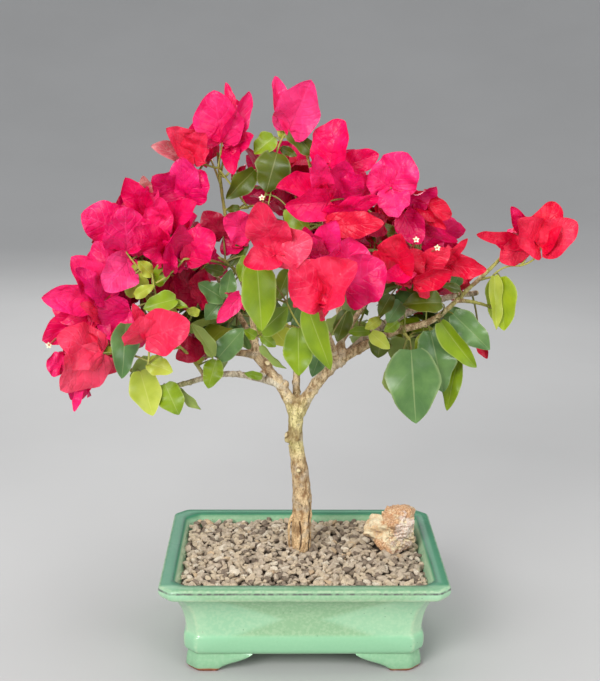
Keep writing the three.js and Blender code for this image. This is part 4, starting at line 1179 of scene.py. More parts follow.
def growSpray(name, twig, rng):
    # a twig's own leaf or flower, with a few more leaves or flowers beside it
    mass, rule = massPlan[name], sprayRule
    if twig["blooms"] and name.startswith("leaves"):
        return  # its flowers are the shown ones
    greens = massGreens.get(name, plainGreens)
    length = growth["bractLength" if twig["blooms"] else "leafLength"] * twig["size"]
    twig = drawnIn(twig, mass, length * (0.8 if twig["blooms"] else 1))
    if twig is None:
        return
    line = bentCurve(twig["foot"], twig["bend"], twig["tip"])
    if inOpenSky(pointAt(line, np.array([0.3, 0.5, 0.7]))).any():
        return
    twigLines.append((twig["foot"], twig["bend"], twig["tip"], 1.0, 0.65, 1 if twig["blooms"] else 2))
    if not twig["blooms"]:
        width = length * rng.uniform(*rule["tipLeafWidth"])
        addLeaf(twig["tip"], twig["axis"], twig["up"], length, width, rng.choice(4, p=greens), rng)
        for _ in range(rng.integers(*rule["sideLeaves"], endpoint=True)):
            share = rng.uniform(*rule["sideLeafShare"])
            leafBeside(twig, name, share, rng.uniform(*rule["leafLength"]) * mass[6], greens, rng)
        return
    tint = rng.choice(5, p=massTints[name])
    opened = growth["bractOpen"] + rng.uniform(*rule["tipOpen"])
    floret = rng.uniform() < rule["floret"]
    addFlower(twig["tip"], twig["axis"], twig["turn"], twig["size"], opened, tint, name, rng, floret)
    for _ in range(rng.integers(*rule["sideFlowers"], endpoint=True)):
        start = pointAt(line, rng.uniform(*rule["sideShare"]))
        across = acrossTo(twig["axis"], rng.uniform(0, 2 * math.pi))
        lean = rng.uniform(*rule["sideLean"])
        axis = unit(twig["axis"] * math.cos(lean) + across * math.sin(lean))
        base = start + axis * rng.uniform(*rule["sideStalk"])
        size = rng.uniform(*rule["sideSize"]) * mass[6]
        reach = growth["bractLength"] * size * 0.8
        if insideMass(mass, base + axis * reach) and isWanted(base, axis, reach, reach * 0.7):
            twigLines.append((start, (start + base) / 2 + upright, base, 0.6, 0.55, 1))
            own = tint if rng.uniform() < rule["sameTint"] else rng.choice(5, p=massTints[name])
            turn, opened = rng.uniform(0, 6.3), rng.uniform(*rule["sideOpen"])
            addFlower(base, axis, turn, size, opened, own, name, rng, rng.uniform() < rule["sideFloret"])
    if rng.uniform() < rule["leafOnFlowerTwig"]:
        share = rng.uniform(*rule["leafShare"])
        leafBeside(twig, name, share, rng.uniform(*rule["leafLength"]), greens, rng)


def fillInside(name, rng):
    # more flowers and leaves inside a mass, at random places of its space, on fine twigs off its stem
    mass, rule = massPlan[name], sprayRule
    blossom = name.startswith("blossom")
    greens = massGreens.get(name, plainGreens)
    rise = 0.35 if blossom else -0.5
    for _ in range(rule["infill" if blossom else "infillLeaves"]):
        way = unit(rng.normal(size=3))
        place = np.array(mass[0]) + way * mass[1] * rng.uniform(0.2, 0.8)
        axis = unit(way * 0.7 + outwardOf(mass) * 0.4 + upright * rise + rng.normal(0, 0.25, 3))
        size = rng.uniform(*rule["infillSize"]) * mass[6]
        length = growth["bractLength" if blossom else "leafLength"] * size
        base = place - axis * length * 0.4
        foot = pointAt(stems[name], rng.uniform(0.5, 0.98))
        if not isWanted(base, axis, length * 0.8, length * 0.6 if blossom else 0):
            continue
        twigLines.append((foot, (foot + base) / 2 + upright * 3, base, 0.9, 0.55, 1))
        if blossom:
            tint = rng.choice(5, p=massTints[name])
            turn, opened = rng.uniform(0, 6.3), rng.uniform(*rule["infillOpen"])
            addFlower(base, axis, turn, size, opened, tint, name, rng, rng.uniform() < rule["floret"])
        else:
            width = length * rng.uniform(*rule["leafWidth"])
            addLeaf(base, axis, unit(upright + way * 0.5), length, width, rng.choice(4, p=greens), rng)


for number, (name, twigs) in enumerate(massTwigs.items()):
    sprayRandom = np.random.default_rng(500 + number)
    for twig in twigs:
        growSpray(name, twig, sprayRandom)
    if "back" not in name:
        fillInside(name, sprayRandom)
print("grown:", len(flowers), "flowers,", len(leaves), "leaves,", len(twigLines), "twigs")


# Blossom pieces

def bractMaterial(name, colour, deep, paleAndHighlight):
    # papery: a plain colour, deeper or lighter from bract to bract by its tone, that clouds towards the
    # deeper one and, as painted highlight, towards the pale one; the veins are pressed in, dark near the root
    # and light beyond as painted highlight, with crinkles between
    material, tree, shader = newMaterial(name, Roughness=0.4, Specular_IOR_Level=0.3, Subsurface_Weight=0.25)
    shader.inputs["Subsurface Radius"].default_value = (0.002, 0.0008, 0.001)
    clouds, _ = useGroup(tree, "cloud", Scale=60, Detail=4, Low=0.35, High=0.7)
    # painted highlight: soft patches of the pale tint
    lights, _ = useGroup(tree, "cloud", Scale=170, Detail=5, Low=0.48, High=0.74)
    side, rib = useGroup(tree, "veins", Count=6, Slant=0.36, Width=0.12, Midrib=0.07)
    tone = attribute(tree, "tone")
    along, _ = bladePlace(tree)
    lines = side.largest(rib)
    sheet = layered(colour, [
        (tone.ramp(0.5, 0.0) * 0.85, deep),
        (tone.ramp(0.5, 1.0) * 0.42, paleAndHighlight),
        (clouds * 0.5, deep),
        (lights * 0.24, paleAndHighlight),
        (lines * (along.ramp(0.42, 0.02) * 0.5 + 0.03), 0.8 * np.array(deep)),
        # painted highlight: the veins lighter beyond the root
        (lines * (along.ramp(0.25, 0.6) * 0.22), paleAndHighlight),
    ])
    noise = {"Vector": ownPlace(tree), "Scale": 85, "Detail": 2, "Roughness": 0.5, "Distortion": 1.0}
    dress(shader, sheet, put(tree, "TexNoise", "Fac", noise) * 2.6 - lines * 0.25, 0.5, 0.0016)
    return material


bractMaterials = [
    bractMaterial("bractPink", (240, 4, 92), (212, 1, 77), (250, 56, 136)),
    bractMaterial("bractMagenta", (232, 2, 94), (190, 1, 76), (248, 44, 134)),
    bractMaterial("bractCoral", (234, 44, 82), (218, 19, 68), (246, 98, 128)),
    # crimson is a darker copy of the bract colours: painted shade, set on bracts that lie in shade deep in
    # the crown
    bractMaterial("bractCrimson", (182, 4, 52), (148, 0, 44), (208, 18, 70)),
    bractMaterial("bractRed", (226, 6, 55), (194, 1, 46), (244, 60, 94)),
    bractMaterial("bractDried", (230, 176, 164), (204, 88, 104), (246, 230, 216)),
    bractMaterial("bractRose", (239, 28, 110), (222, 9, 92), (248, 92, 158)),
]
blossomRegions = {
    "bracts_left": ("blossom_left_low", "blossom_left", "blossom_left_inner", "leaves_left"),
    "bracts_top": ("blossom_top_left", "blossom_top", "blossom_upper"),
    "bracts_front": ("blossom_front", "blossom_right", "blossom_right_tip"),
    "bracts_back": ("blossom_back_left", "blossom_back", "blossom_back_right"),
}
toneRandom = np.random.default_rng(19)
for pieceName, members in blossomRegions.items():
    grown = bractBlades([flower for flower in flowers if flower["region"] in members])
    shown = [bract for bract in shownBracts if bract["region"] in members]
    parts, tones = [], []
    for tints, points, faces, uv in bladeGrids(bractShape, grown, shown):
        parts.append(makePart(points, faces, tints, uv))
        tones.append(np.repeat(toneRandom.uniform(size=len(points)), points.shape[1]))
    covered = [member for member in members if member.startswith("blossom")]
    makePiece(pieceName, parts, bractMaterials, covered, marks={"tone": np.concatenate(tones)})


# Florets: a slender tube in the middle of a flower, some with an open white star

floretShape = {
    "length": 15, "radius": 0.85, "swell": (0.8, 1.1, 0.8, 0.9, 1.15), "sides": 6, "star": 1.8, "lobe": 0.3,
    "dish": 0.8, "thickness": 0.35, "around": 20,
}


def starPoints(places, axes):
    # a disc of radius 1 + lobe cos 5a, dished towards its middle, with two skins and a rim between
    s = floretShape
    angle = np.arange(s["around"]) * 2 * np.pi / s["around"]
    rim = s["star"] * (1 + s["lobe"] * np.cos(5 * angle))
    edge = np.stack([rim * np.cos(angle), rim * np.sin(angle), 0 * angle + s["dish"]], axis=1)
    inner, skin = edge * (0.5, 0.5, 0.25), np.array([0, 0, s["thickness"]])
    local = np.concatenate([inner - skin, edge - skin, edge, inner, [-skin, 0 * skin]])
    first = unit(np.cross(axes, [0.3, 0.5, 0.8]))
    basis = np.stack([first, np.cross(axes, first), axes], axis=1)
    return np.einsum("pk,nkd->npd", local, basis) + places[:, None]


def makeFlorets():
    # straight tubes from the flower's base, and a star on every second one and on those shown
    s = floretShape
    lines = [(one["base"], one["base"] + one["axis"] * s["length"] * one["size"], number % 2 == 0)
             for number, one in enumerate(flowers) if one["floret"]]
    lines += [(foot, star, True) for foot, star in floretLines]
    starts, ends, opened = (np.array(values) for values in zip(*lines))
    t = np.linspace(0, 1, len(s["swell"]))[None, :, None]
    paths = mix(starts[:, None], ends[:, None], t)
    points, faces = closedTubes(paths, s["radius"] * np.array(s["swell"]), s["sides"])
    stars = starPoints(ends[opened], unit(ends - starts)[opened])
    parts = [makePart(points, faces, 0), makePart(stars, cappedFaces(4, s["around"]), 1)]
    dull = {"Roughness": 0.6, "Specular_IOR_Level": 0.2}
    makePiece("florets", parts, [
        cloudedMaterial("floretTube", (206, 70, 96), (176, 110, 84), 200, **dull),
        cloudedMaterial("floretStar", (244, 238, 214), (232, 218, 160), 300, **dull),
    ])


# Leaf piece

def leafMaterial(name, colour, deep, roughness=0.4):
    # waxy: a plain green that clouds towards a deeper one, with a pale midrib and rim and faint side veins
    material, tree, shader = newMaterial(name, Roughness=roughness, Specular_IOR_Level=0.4)
    clouds, raw = useGroup(tree, "cloud", Scale=45, Detail=4, Low=0.3, High=0.7)
    side, rib = useGroup(tree, "veins", Count=6, Slant=0.34, Width=0.09, Midrib=0.05)
    _, across = bladePlace(tree)
    paler = mix(np.array(shade(*colour)), np.array([0.95, 0.9, 0.5, 1]), 0.3).tolist()
    rim = abs(across).ramp(0.86, 1.0)
    green = layered(colour, [(clouds, deep), (side * 0.03, paler), (rib * 0.45, paler), (rim * 0.4, paler)])
    dress(shader, green, raw - side.largest(rib) * 0.1, 0.35, 0.0008)
    return material


leafMaterials = [
    leafMaterial("leafMid", (130, 156, 8), (102, 130, 10)),
    leafMaterial("leafYellow", (186, 196, 72), (150, 166, 42)),
    # dark is a deeper, bluer green, set too as painted shade on leaves that lie in shade inside the crown
    leafMaterial("leafDark", (106, 142, 78), (76, 112, 60), 0.3),
    leafMaterial("leafOlive", (92, 106, 12), (70, 86, 10)),
    leafMaterial("leafBack", (160, 178, 92), (132, 152, 70), 0.55),
    leafMaterial("leafLime", (172, 192, 34), (138, 164, 18)),
]


def makeLeaves():
    # the upper skin takes the leaf's own green, the lower skin the paler back
    parts = []
    for tints, points, faces, uv in bladeGrids(leafShape, leaves[shownCount:], leaves[:shownCount]):
        upper = np.repeat(tints[:, None], len(faces) // 2, axis=1)
        lower = np.full(upper.shape, leafShape["tints"]["pale"])
        parts.append(makePart(points, faces, np.concatenate([upper, lower], axis=1), uv))
    covered = [name for name in massPlan if name.startswith("leaves")]
    makePiece("leaves", parts, leafMaterials, covered)


makeFlorets()
makeLeaves()


# Twigs, stalks and petioles

twigShape = {"steps": 9, "sides": 6}
stalkMaterials = [
    cloudedMaterial("stalkWoody", (150, 126, 92), (112, 92, 60), 120, Roughness=0.55),
    cloudedMaterial("stalkFlower", (178, 176, 84), (140, 150, 62), 120, Roughness=0.55),
    cloudedMaterial("stalkLeaf", (140, 150, 70), (128, 116, 66), 120, Roughness=0.55),
]


def makeTwigs():
    # each twig is a bent line with a radius that falls evenly from its foot to its end
    t = np.linspace(0, 1, twigShape["steps"])[None, :, None]
    start, bend, end, foot, tip, tints = (np.array(values) for values in zip(*twigLines))
    paths = bentLine(start[:, None], bend[:, None], end[:, None], t)
    points, faces = closedTubes(paths, mix(foot[:, None], tip[:, None], t[..., 0]), twigShape["sides"])
    makePiece("twigs", [makePart(points, faces, tints)], stalkMaterials)


makeTwigs()


# Trunk and boughs: tubes joined by a voxel remesh, so that the forks flow into each other, then bark relief

barkShape = {
    "voxel": 0.7, "smoothing": 5, "streak": 0.35, "ridge": 0.09, "fine": 0.09, "collar": 0.4, "stout": 1.08,
    "sides": 16, "knotSides": 12, "stemRadius": (1.7, 1.05), "stemYoung": (0.05, 0.4),
    "limbYoung": (0.7, 0.92),
    "knots": [  # place, radius
        ((-12.4, 5.5, 156.5), 2.3), ((-11.8, 5.2, 152.5), 2.4), ((-3.4, 1.6, 130), 2.2),
        ((-0.6, 4.2, 173), 2.1), ((-30, -4, 206), 2.6), ((-26, -1, 212), 3.4), ((52, -9, 228), 2.6),
        ((27, -2, 220), 2.8), ((-62, -9, 206), 2.2), ((86, -13, 244), 2.2), ((-14, 2, 196), 3.2),
        ((40, -8, 226), 2.6),
    ],
    "root": [(-5, 7, 96), (-9.4, 6.5, 90), (-10.8, 6, 79), (-9.6, 5, 62)], "rootRadius": (1.2, 0.9),
    "nodeStep": 9, "nodeSize": (0.66, 0.92), "nodeOut": (0.25, 0.58),  # old leaf nodes along the boughs
    "splits": [  # angle, width, depth
        (-132, 12, 1.5), (-101, 7, 1.2), (-34, 10, 1.3), (80, 12, 1.2), (150, 10, 1.1),
    ],
    "splitTop": (94, 108), "splitSway": 10,
    "young": {"right_bough": 0.7, "left_low_branch": 0.6},  # limbs with a green end
    "ashen": {"left_low_branch": 0.8, "right_upper_branch": 0.7},  # limbs with grey bark
    "scars": [  # cut ends: place, radius
        ((-3.6, -0.2, 130), 2.7), ((-14, 4, 157), 2.6), ((125, 8, 263.5), 2.8), ((-27, -3.6, 214), 2.6),
    ],
}


def limbRadius(name, share):
    # the trunk's girth by height; a bough tapers evenly, wider for a short way where it leaves its parent
    if name == "trunk":
        heights, radii = np.array(trunkPlan["girth"]).T
        return np.interp(pointAt(limbCurves[name], share)[:, 2], heights, radii)
    foot, tip = boughPlan[name][3]
    collar = 1 + barkShape["collar"] * np.exp(-(share * limbCurves[name]["length"] / (2.2 * foot)) ** 2)
    return mix(foot, tip, share) * collar * mix(barkShape["stout"], 1, share)


def limbSamples():
    # points, tangents, radii, how green and how grey along every limb, every mass's stem and the root
    s, samples = barkShape, []
    for name, curve in limbCurves.items():
        share = np.linspace(0, 1, max(24, int(curve["length"] / 1.6)))
        young = smoothStep(*s["limbYoung"], share) * s["young"].get(name, 0)
        samples.append((curve, share, limbRadius(name, share), young, 0 * share + s["ashen"].get(name, 0)))
    share = np.linspace(0, 1, 24)
    for curve in stems.values():
        young = smoothStep(*s["stemYoung"], share)
        samples.append((curve, share, mix(*s["stemRadius"], share), young, 0 * share))
    samples.append((curveThrough(s["root"]), share, mix(*s["rootRadius"], share), 0 * share, 0 * share))
    return [(pointAt(curve, share), tangentAt(curve, share), *rest) for curve, share, *rest in samples]


def boughNodes():
    # small swellings at even steps along each bough, turned by the golden angle from one to the next
    rng = np.random.default_rng(63)
    nodes = []
    for name in boughPlan:
        curve = limbCurves[name]
        share = np.arange(12, curve["length"], barkShape["nodeStep"]) / curve["length"]
        share = share + rng.uniform(-0.3, 0.3, len(share)) * barkShape["nodeStep"] / curve["length"]
        radius = limbRadius(name, share)
        for i, (place, way, size) in enumerate(zip(pointAt(curve, share), tangentAt(curve, share), radius)):
            out = acrossTo(way, i * goldenAngle) * size * rng.uniform(*barkShape["nodeOut"])
            nodes.append((place + out, size * rng.uniform(*barkShape["nodeSize"])))
    return nodes


def fusedLimbs(samples):
    # the tubes and knots as one closed mesh: a voxel remesh and a light smoothing, read back as arrays
    s = barkShape
    tubes = [closedTubes(path[None], radius[None], s["sides"]) for path, _, radius, *_ in samples]
    across = np.linspace(-0.95, 0.95, 9)
    for place, radius in s["knots"] + boughNodes():
        path = np.array(place) + across[:, None] * radius * upright
        ring = np.sqrt(1 - across ** 2) * radius
        tubes.append(closedTubes(path[None], ring[None], s["knotSides"]))
    parts = [makePart(points, faces, 0) for points, faces in tubes]
    rough = linked("limbTubes", newMesh("limbTubes", *joinParts(parts)))
    remesh = rough.modifiers.new("fuse", "REMESH")
    remesh.mode = "VOXEL"
    remesh.voxel_size = s["voxel"]
    rough.modifiers.new("soften", "SMOOTH").iterations = s["smoothing"]
    done = rough.evaluated_get(bpy.context.evaluated_depsgraph_get()).to_mesh()
    points, normals = np.zeros((2, len(done.vertices) * 3))
    done.vertices.foreach_get("co", points)
    done.vertices.foreach_get("normal", normals)
    corner = np.zeros(len(done.loops), np.int32)
    done.loops.foreach_get("vertex_index", corner)
    bpy.data.objects.remove(rough)
    return points.reshape(-1, 3), normals.reshape(-1, 3), corner.reshape(-1, 4)


def nearestSample(points, places, block=4000):
    # for each point, the number of the closest limb sample
    found = [np.argmin(((points[i:i + block, None] - places[None]) ** 2).sum(-1), axis=1)
             for i in range(0, len(points), block)]
    return np.concatenate(found)


def barkRelief(points, samples):
    # noise drawn out along the limb makes ridges, finer noise makes scales; splits sink in at the foot
    s = barkShape
    places, tangents, radii, young, ashen = (np.concatenate(values) for values in zip(*samples))
    near = nearestSample(points, places)
    tangent, radius = tangents[near], radii[near]
    along = np.sum(points * tangent, axis=1, keepdims=True) * tangent
    ridge = cloudNoise(points - along * (1 - s["streak"]), 2.6, 3, 7) * s["ridge"] * radius
    fine = cloudNoise(points - along * 0.3, 1.2, 3, 21) * s["fine"] * np.sqrt(radius)
    out = points - places[near]
    angle = np.degrees(np.arctan2(out[:, 1], out[:, 0]))
    sway = s["splitSway"] * cloudNoise(points * upright, 9, 2, 4)
    low = (1 - smoothStep(*s["splitTop"], points[:, 2] + sway)) * (near < len(samples[0][0]))
    split, scar = np.zeros((2, len(points)))
    for turn, width, depth in s["splits"]:
        away = (angle + sway - turn + 180) % 360 - 180
        split = np.maximum(split, depth * np.exp(-(away / width) ** 2))
    split = split * low
    for place, size in s["scars"]:
        scar = np.maximum(scar, np.exp(-(np.linalg.norm(points - place, axis=1) / size) ** 2))
    marks = {"split": split / 1.5, "scar": scar, "young": young[near], "ashen": ashen[near]}
    return ridge + fine - split, marks


def barkMaterial():
    # pale tan with speckles and short streaks, olive on the upper trunk, orange at its foot and green on
    # young wood, painted shade in the splits, and cream with a dark ring on the cut ends
    material, tree, shader = newMaterial("bark", Roughness=0.8, Specular_IOR_Level=0.2)
    place = ownPlace(tree)
    stretched = put(tree, "Mapping", "Vector", {"Vector": place, "Scale": (1, 1, 0.4)})
    streak = put(tree, "TexNoise", "Fac", {"Vector": stretched, "Scale": 380, "Detail": 7, "Roughness": 0.7})
    patches, _ = useGroup(tree, "cloud", Scale=70, Detail=5, Low=0.45, High=0.62)
    chalky, _ = useGroup(tree, "cloud", Scale=110, Detail=4, Low=0.52, High=0.64)
    speckles, grain = useGroup(tree, "cloud", Scale=1100, Detail=3, Low=0.56, High=0.68)
    height = put(tree, "SeparateXYZ", "Z", {"Vector": place})
    scar = attribute(tree, "scar")

    def streaked(dark, light, low=0.34, high=0.6):
        # from dark to light by the streaks
        return over(dark, streak.ramp(low, high), light)

    upper = height.ramp(0.126, 0.15) * height.ramp(0.195, 0.172)
    lower = height.ramp(0.15, 0.13) * height.ramp(0.094, 0.11)
    colour = layered(streaked((164, 134, 94), (246, 222, 178), 0.37), [
        (upper * 0.75, streaked((160, 152, 84), (238, 226, 158), 0.36)),
        (lower * 0.7, streaked((154, 116, 80), (240, 208, 160), 0.36)),
        (height.ramp(0.106, 0.092), streaked((172, 130, 86), (250, 216, 166))),
        (patches * 0.6, (142, 108, 74)),
        (chalky * 0.45, (218, 206, 184)),
        (speckles * 0.65, (86, 64, 42)),
        (attribute(tree, "ashen"), streaked((150, 136, 112), (232, 222, 198))),
        (attribute(tree, "young") * 0.9, streaked((132, 138, 58), (184, 182, 92), 0.34, 0.62)),
        # painted shade: dark in the splits
        (attribute(tree, "split").ramp(0.25, 0.8), (70, 50, 34)),
        (scar.ramp(0.12, 0.3) * 0.6, (110, 84, 54)),
        ((scar + (streak - 0.5) * 0.9).ramp(0.5, 0.75), (232, 214, 168)),
    ])
    dress(shader, colour, streak + grain * 0.7, 0.9, 0.0014)
    return material


def makeBark():
    # the fused limbs, pushed out along their normals by the relief
    samples = limbSamples()
    points, normals, faces = fusedLimbs(samples)
    relief, marks = barkRelief(points, samples)
    part = makePart((points + normals * relief[:, None])[None], faces, 0)
    makePiece("bark", [part], [barkMaterial()], list(limbCurves), marks=marks)


makeBark()


# Pot: a profile carried round a rectangle with canted corners, and four swept feet

potShape = {
    "halfWidth": 102.5, "halfDepth": 78, "cant": 8.5, "edgeRadius": 6, "arcSteps": 5, "wideSteps": 18,
    "deepSteps": 14, "outsideSteps": 84, "insideSteps": 26,
    "outside": [
        (20, 12.5), (18.2, 13.4), (16.6, 15.6), (16, 19.4), (16, 23.6), (16.5, 26.2), (17.6, 27.6),
        (17.7, 29.4), (16.9, 37), (14.8, 46), (11.8, 53), (9.2, 57.4), (7.2, 59.4), (4, 60.6), (1.3, 61.8),
        (0.1, 64.4), (0, 67), (0.5, 68.9), (2, 70),
    ],
    "inside": [(9.6, 70), (11, 68.6), (14.6, 60), (20.2, 46), (22.6, 32), (25, 19)],
    "edges": [(0.1, 67.7, 1.2), (10, 69.8, 0.7)],  # where the glaze breaks dark over an edge, and its width
    "ridges": [(1.0, 69.4, 0.7), (1.2, 62, 1.6)],  # where it thins and turns paler, partly a painted highlight
    "wallTop": 58, "cornerThinningAndHighlight": 0.7, "cornerWidth": 1.4, "footInset": 17.5, "footThickness": 12,
    "footReach": 23, "footSweep": 25, "underside": 12.5, "footTop": 15,
}


def quarterCorner(halfWidth, halfDepth):
    # one rounded cant from the right side to the back: two arcs of 45 degrees that meet its straight face
    cant, radius = potShape["cant"], potShape["edgeRadius"]
    inset = radius * (math.sqrt(2) - 1)
    first = np.radians(np.linspace(0, 45, potShape["arcSteps"] + 1))
    second = np.radians(np.linspace(45, 90, potShape["arcSteps"] + 1))
    x = [halfWidth - radius + radius * np.cos(first), halfWidth - cant - inset + radius * np.cos(second)]
    y = [halfDepth - cant - inset + radius * np.sin(first), halfDepth - radius + radius * np.sin(second)]
    return np.stack([np.concatenate(x, axis=-1), np.concatenate(y, axis=-1)], axis=-1)


def potRings(profile):
    # level rings, one for each (inset, z) of the profile, all with the same number of points
    profile = np.asarray(profile, float)
    corner = quarterCorner(potShape["halfWidth"] - profile[:, :1], potShape["halfDepth"] - profile[:, :1])
    quarters = [corner, (corner * (-1, 1))[:, ::-1], corner * (-1, -1), (corner * (1, -1))[:, ::-1]]
    pieces = []
    for i, quarter in enumerate(quarters):
        following = quarters[(i + 1) % 4]
        steps = potShape["wideSteps"] if i % 2 == 0 else potShape["deepSteps"]
        share = (np.arange(1, steps) / steps)[None, :, None]
        pieces += [quarter, mix(quarter[:, -1:], following[:, :1], share)]
    flat = np.concatenate(pieces, axis=1)
    level = np.broadcast_to(profile[:, 1][:, None, None], (*flat.shape[:2], 1))
    return np.concatenate([flat, level], axis=2)


def fineProfile(points, count):
    # a smooth curve through the profile's points, at even steps
    curve = curveThrough([(inset, z, 0) for inset, z in points])
    return pointAt(curve, np.linspace(0, 1, count))[:, :2]


def closedLoft(profile):
    # rings of a profile that starts and ends with a level face, closed by a fan at each end
    rings = potRings(profile)
    points = np.concatenate([rings.reshape(-1, 3), [[0, 0, profile[0][1]], [0, 0, profile[-1][1]]]])
    return makePart(points[None], cappedFaces(*rings.shape[:2]), 0)


def footSections():
    # one foot: a section carried round a corner, whose lower edge is a cubic sweep up to the pot's underside
    s = potShape
    t = np.linspace(0, 1, 40)
    start, under = s["footSweep"], s["underside"]
    control = [(start, 0), (start - 4, under * 0.5), (8, under * 0.45), (0, under)]
    weights = ((1 - t) ** 3, 3 * t * (1 - t) ** 2, 3 * t * t * (1 - t), t ** 3)
    sweep = sum(np.outer(weight, place) for weight, place in zip(weights, control))
    lengths, heights = sweep[::-1, 0], sweep[::-1, 1]
    edge, inner = s["footInset"], s["footInset"] + s["footThickness"]
    section = [(edge + 1, 0), (edge - 0.2, 0.16), (edge + 0.3, 0.5), (edge + 2, 1), (inner, 1), (inner, 0)]
    gap = s["footInset"] + s["footReach"] + s["footSweep"]
    startX, startY = s["halfWidth"] - gap, s["halfDepth"] - gap
    straight = np.linspace(0, 1, 18)[:, None]
    rows = []
    for inset, share in section:
        right, rear = s["halfWidth"] - inset, s["halfDepth"] - inset
        corner = quarterCorner(np.array([[right]]), np.array([[rear]]))[0]
        side = mix(np.array([[right, startY]]), corner[:1], straight[:-1])
        back = mix(corner[-1:], np.array([[startX, rear]]), straight[1:])
        path = np.concatenate([side, corner, back])
        reach = np.minimum(np.maximum(path[:, 1] - startY, 0), np.maximum(path[:, 0] - startX, 0))
        reach[: len(side)] = path[: len(side), 1] - startY
        reach[-len(back):] = path[-len(back):, 0] - startX
        low = np.interp(reach, lengths, heights)
        rows.append(np.column_stack([path, mix(low, s["footTop"], share)]))
    return np.stack(rows)


def footPart(flipX, flipY):
    # the foot's section rings joined end to end, capped at both ends; a mirrored foot has its path reversed
    rows = footSections() * (flipX, flipY, 1)
    if flipX * flipY < 0:
        rows = rows[:, ::-1]
    across, along = rows.shape[:2]
    rings = np.swapaxes(rows, 0, 1)
    quads = loftFaces(along, across)[:, [0, 3, 2, 1]]
    fan = np.arange(1, across - 1)
    none = np.full(len(fan), -1)
    start = np.stack([np.zeros_like(fan), fan, fan + 1, none], axis=1)
    last = (along - 1) * across
    end = np.stack([np.full_like(fan, last), last + fan + 1, last + fan, none], axis=1)
    return makePart(rings.reshape(1, -1, 3), np.concatenate([quads, start, end]), 0)


def glazeMaterial():
    # celadon, darker on level faces as pooled glaze and a painted dark reflection (less at the front rim, as
    # a painted reflection of light), darker in the middle of a wall as a painted reflection, breaking dark
    # over the rim's edges and pale over ridges (partly a painted highlight), with iron specks and bare clay
    # under the feet
    own = {"IOR": 1.45, "Specular_IOR_Level": 0.06, "Coat_Roughness": 0.1, "Coat_IOR": 1.45}
    material, tree, shader = newMaterial("celadonGlaze", **own)
    place = ownPlace(tree)
    x, y, height = put(tree, "SeparateXYZ", ("X", "Y", "Z"), {"Vector": place})
    clouds, swirl = useGroup(tree, "cloud", Scale=24, Detail=5, Low=0.34, High=0.68)
    flecks, _ = useGroup(tree, "cloud", Scale=420, Detail=3, Low=0.4, High=0.66)
    edgeMottle, _ = useGroup(tree, "cloud", Scale=320, Detail=6, Low=0.36, High=0.6)
    cells = {"Vector": place, "Scale": 210, "Randomness": 1.0}
    away, cell = put(tree, "TexVoronoi", ("Distance", "Color"), cells)
    speck = away.ramp(0.12, 0.06) * put(tree, "SeparateColor", 0, {"Color": cell}).ramp(0.8, 0.84)
    # painted reflection: darker in the middle of each wall, in a bow-tie that narrows towards a height of 41
    # mm
    paintedWallReflection = abs(x) - abs(height - 0.041) * 2.6 + swirl * 0.016
    # level faces darker: glaze pooled there, deepened as a painted dark reflection
    level = facingUp(tree).ramp(0.35, 0.85) * height.ramp(0.05, 0.06)
    # painted reflection of light: the front rim keeps half of its paler glaze
    front = y.ramp(-0.066, -0.071) * 0.5
    band = height.ramp(0.029, 0.026) * height.ramp(0.012, 0.016)
    lip = height.ramp(0.058, 0.061) * level.rest()
    low = height.ramp(0.016, 0.012).largest(lip * 0.4)
    clay = (height + swirl * 0.005).ramp(0.0052, 0.0036)
    colour = layered((178, 218, 178), [
        (clouds, (158, 206, 166)),
        (paintedWallReflection.ramp(0.032, 0.016) * 0.85, (146, 186, 142)),
        (flecks * 0.2, (210, 230, 194)),
        (level * front.rest(), (70, 136, 104)),
        (band * 0.85, (144, 198, 157)),
        (low * 0.5, (130, 184, 146)),
        # pale over ridges: thinner glaze, partly a painted highlight
        (attribute(tree, "ridge") * (edgeMottle * 0.35 + 0.15), (216, 228, 190)),
        (attribute(tree, "edge").ramp(0.4, 0.95) * (edgeMottle * 0.5 + 0.4), (84, 74, 82)),
        (speck * 0.5, (70, 84, 66)),
        (clay, (166, 100, 74)),
    ])
    feed(shader.inputs["Roughness"], clay * 0.5 + (swirl * 0.2 + 0.2))
    feed(shader.inputs["Coat Weight"], clay.largest(level * 0.88).rest())
    dress(shader, colour, swirl, 0.1, 0.004)
    return material


def cornerMark(profile, around):
    # highest along the upright edges of the canted corners, on the wall and the band: a pale line where the
    # glaze thins, partly a painted highlight
    arc = potShape["arcSteps"] + 1
    steps = [2 * arc + potShape[key] - 1 for key in ("wideSteps", "deepSteps")] * 2
    spots = (np.cumsum([0] + steps[:-1])[:, None] + [arc // 2, arc + arc // 2]).ravel()
    away = np.abs((np.arange(around)[:, None] - spots + around // 2) % around - around // 2).min(axis=1)
    wall = (profile[:, 1] < potShape["wallTop"]) & (np.arange(len(profile)) < len(profile) // 2)
    return np.outer(wall * potShape["cornerThinningAndHighlight"], np.exp(-(away / potShape["cornerWidth"]) ** 2)).ravel()


def makePot():
    # the wall's loft with marks where the glaze breaks, then the four feet, which have none
    s = potShape
    sides = (("outside", "outsideSteps"), ("inside", "insideSteps"))
    profile = np.concatenate([fineProfile(s[side], s[steps]) for side, steps in sides])
    wall = closedLoft(profile)
    feet = [footPart(flipX, flipY) for flipX, flipY in itertools.product((1, -1), (1, -1))]
    around = (len(wall["points"]) - 2) // len(profile)
    blank = np.zeros(2 + sum(len(foot["points"]) for foot in feet))
    marks = {}
    for mark, places in (("edge", np.array(s["edges"])), ("ridge", np.array(s["ridges"]))):
        away = (np.linalg.norm(profile[:, None] - places[None, :, :2], axis=2) / places[:, 2]).min(axis=1)
        marks[mark] = np.repeat(np.exp(-away ** 2), around)
    marks["ridge"] = np.maximum(marks["ridge"], cornerMark(profile, around))
    marks = {mark: np.concatenate([values, blank]) for mark, values in marks.items()}
    makePiece("pot_glaze", [wall, *feet], [glazeMaterial()], ["pot"], marks=marks)


makePot()


# Gravel: a dark bed under two layers of broken grains

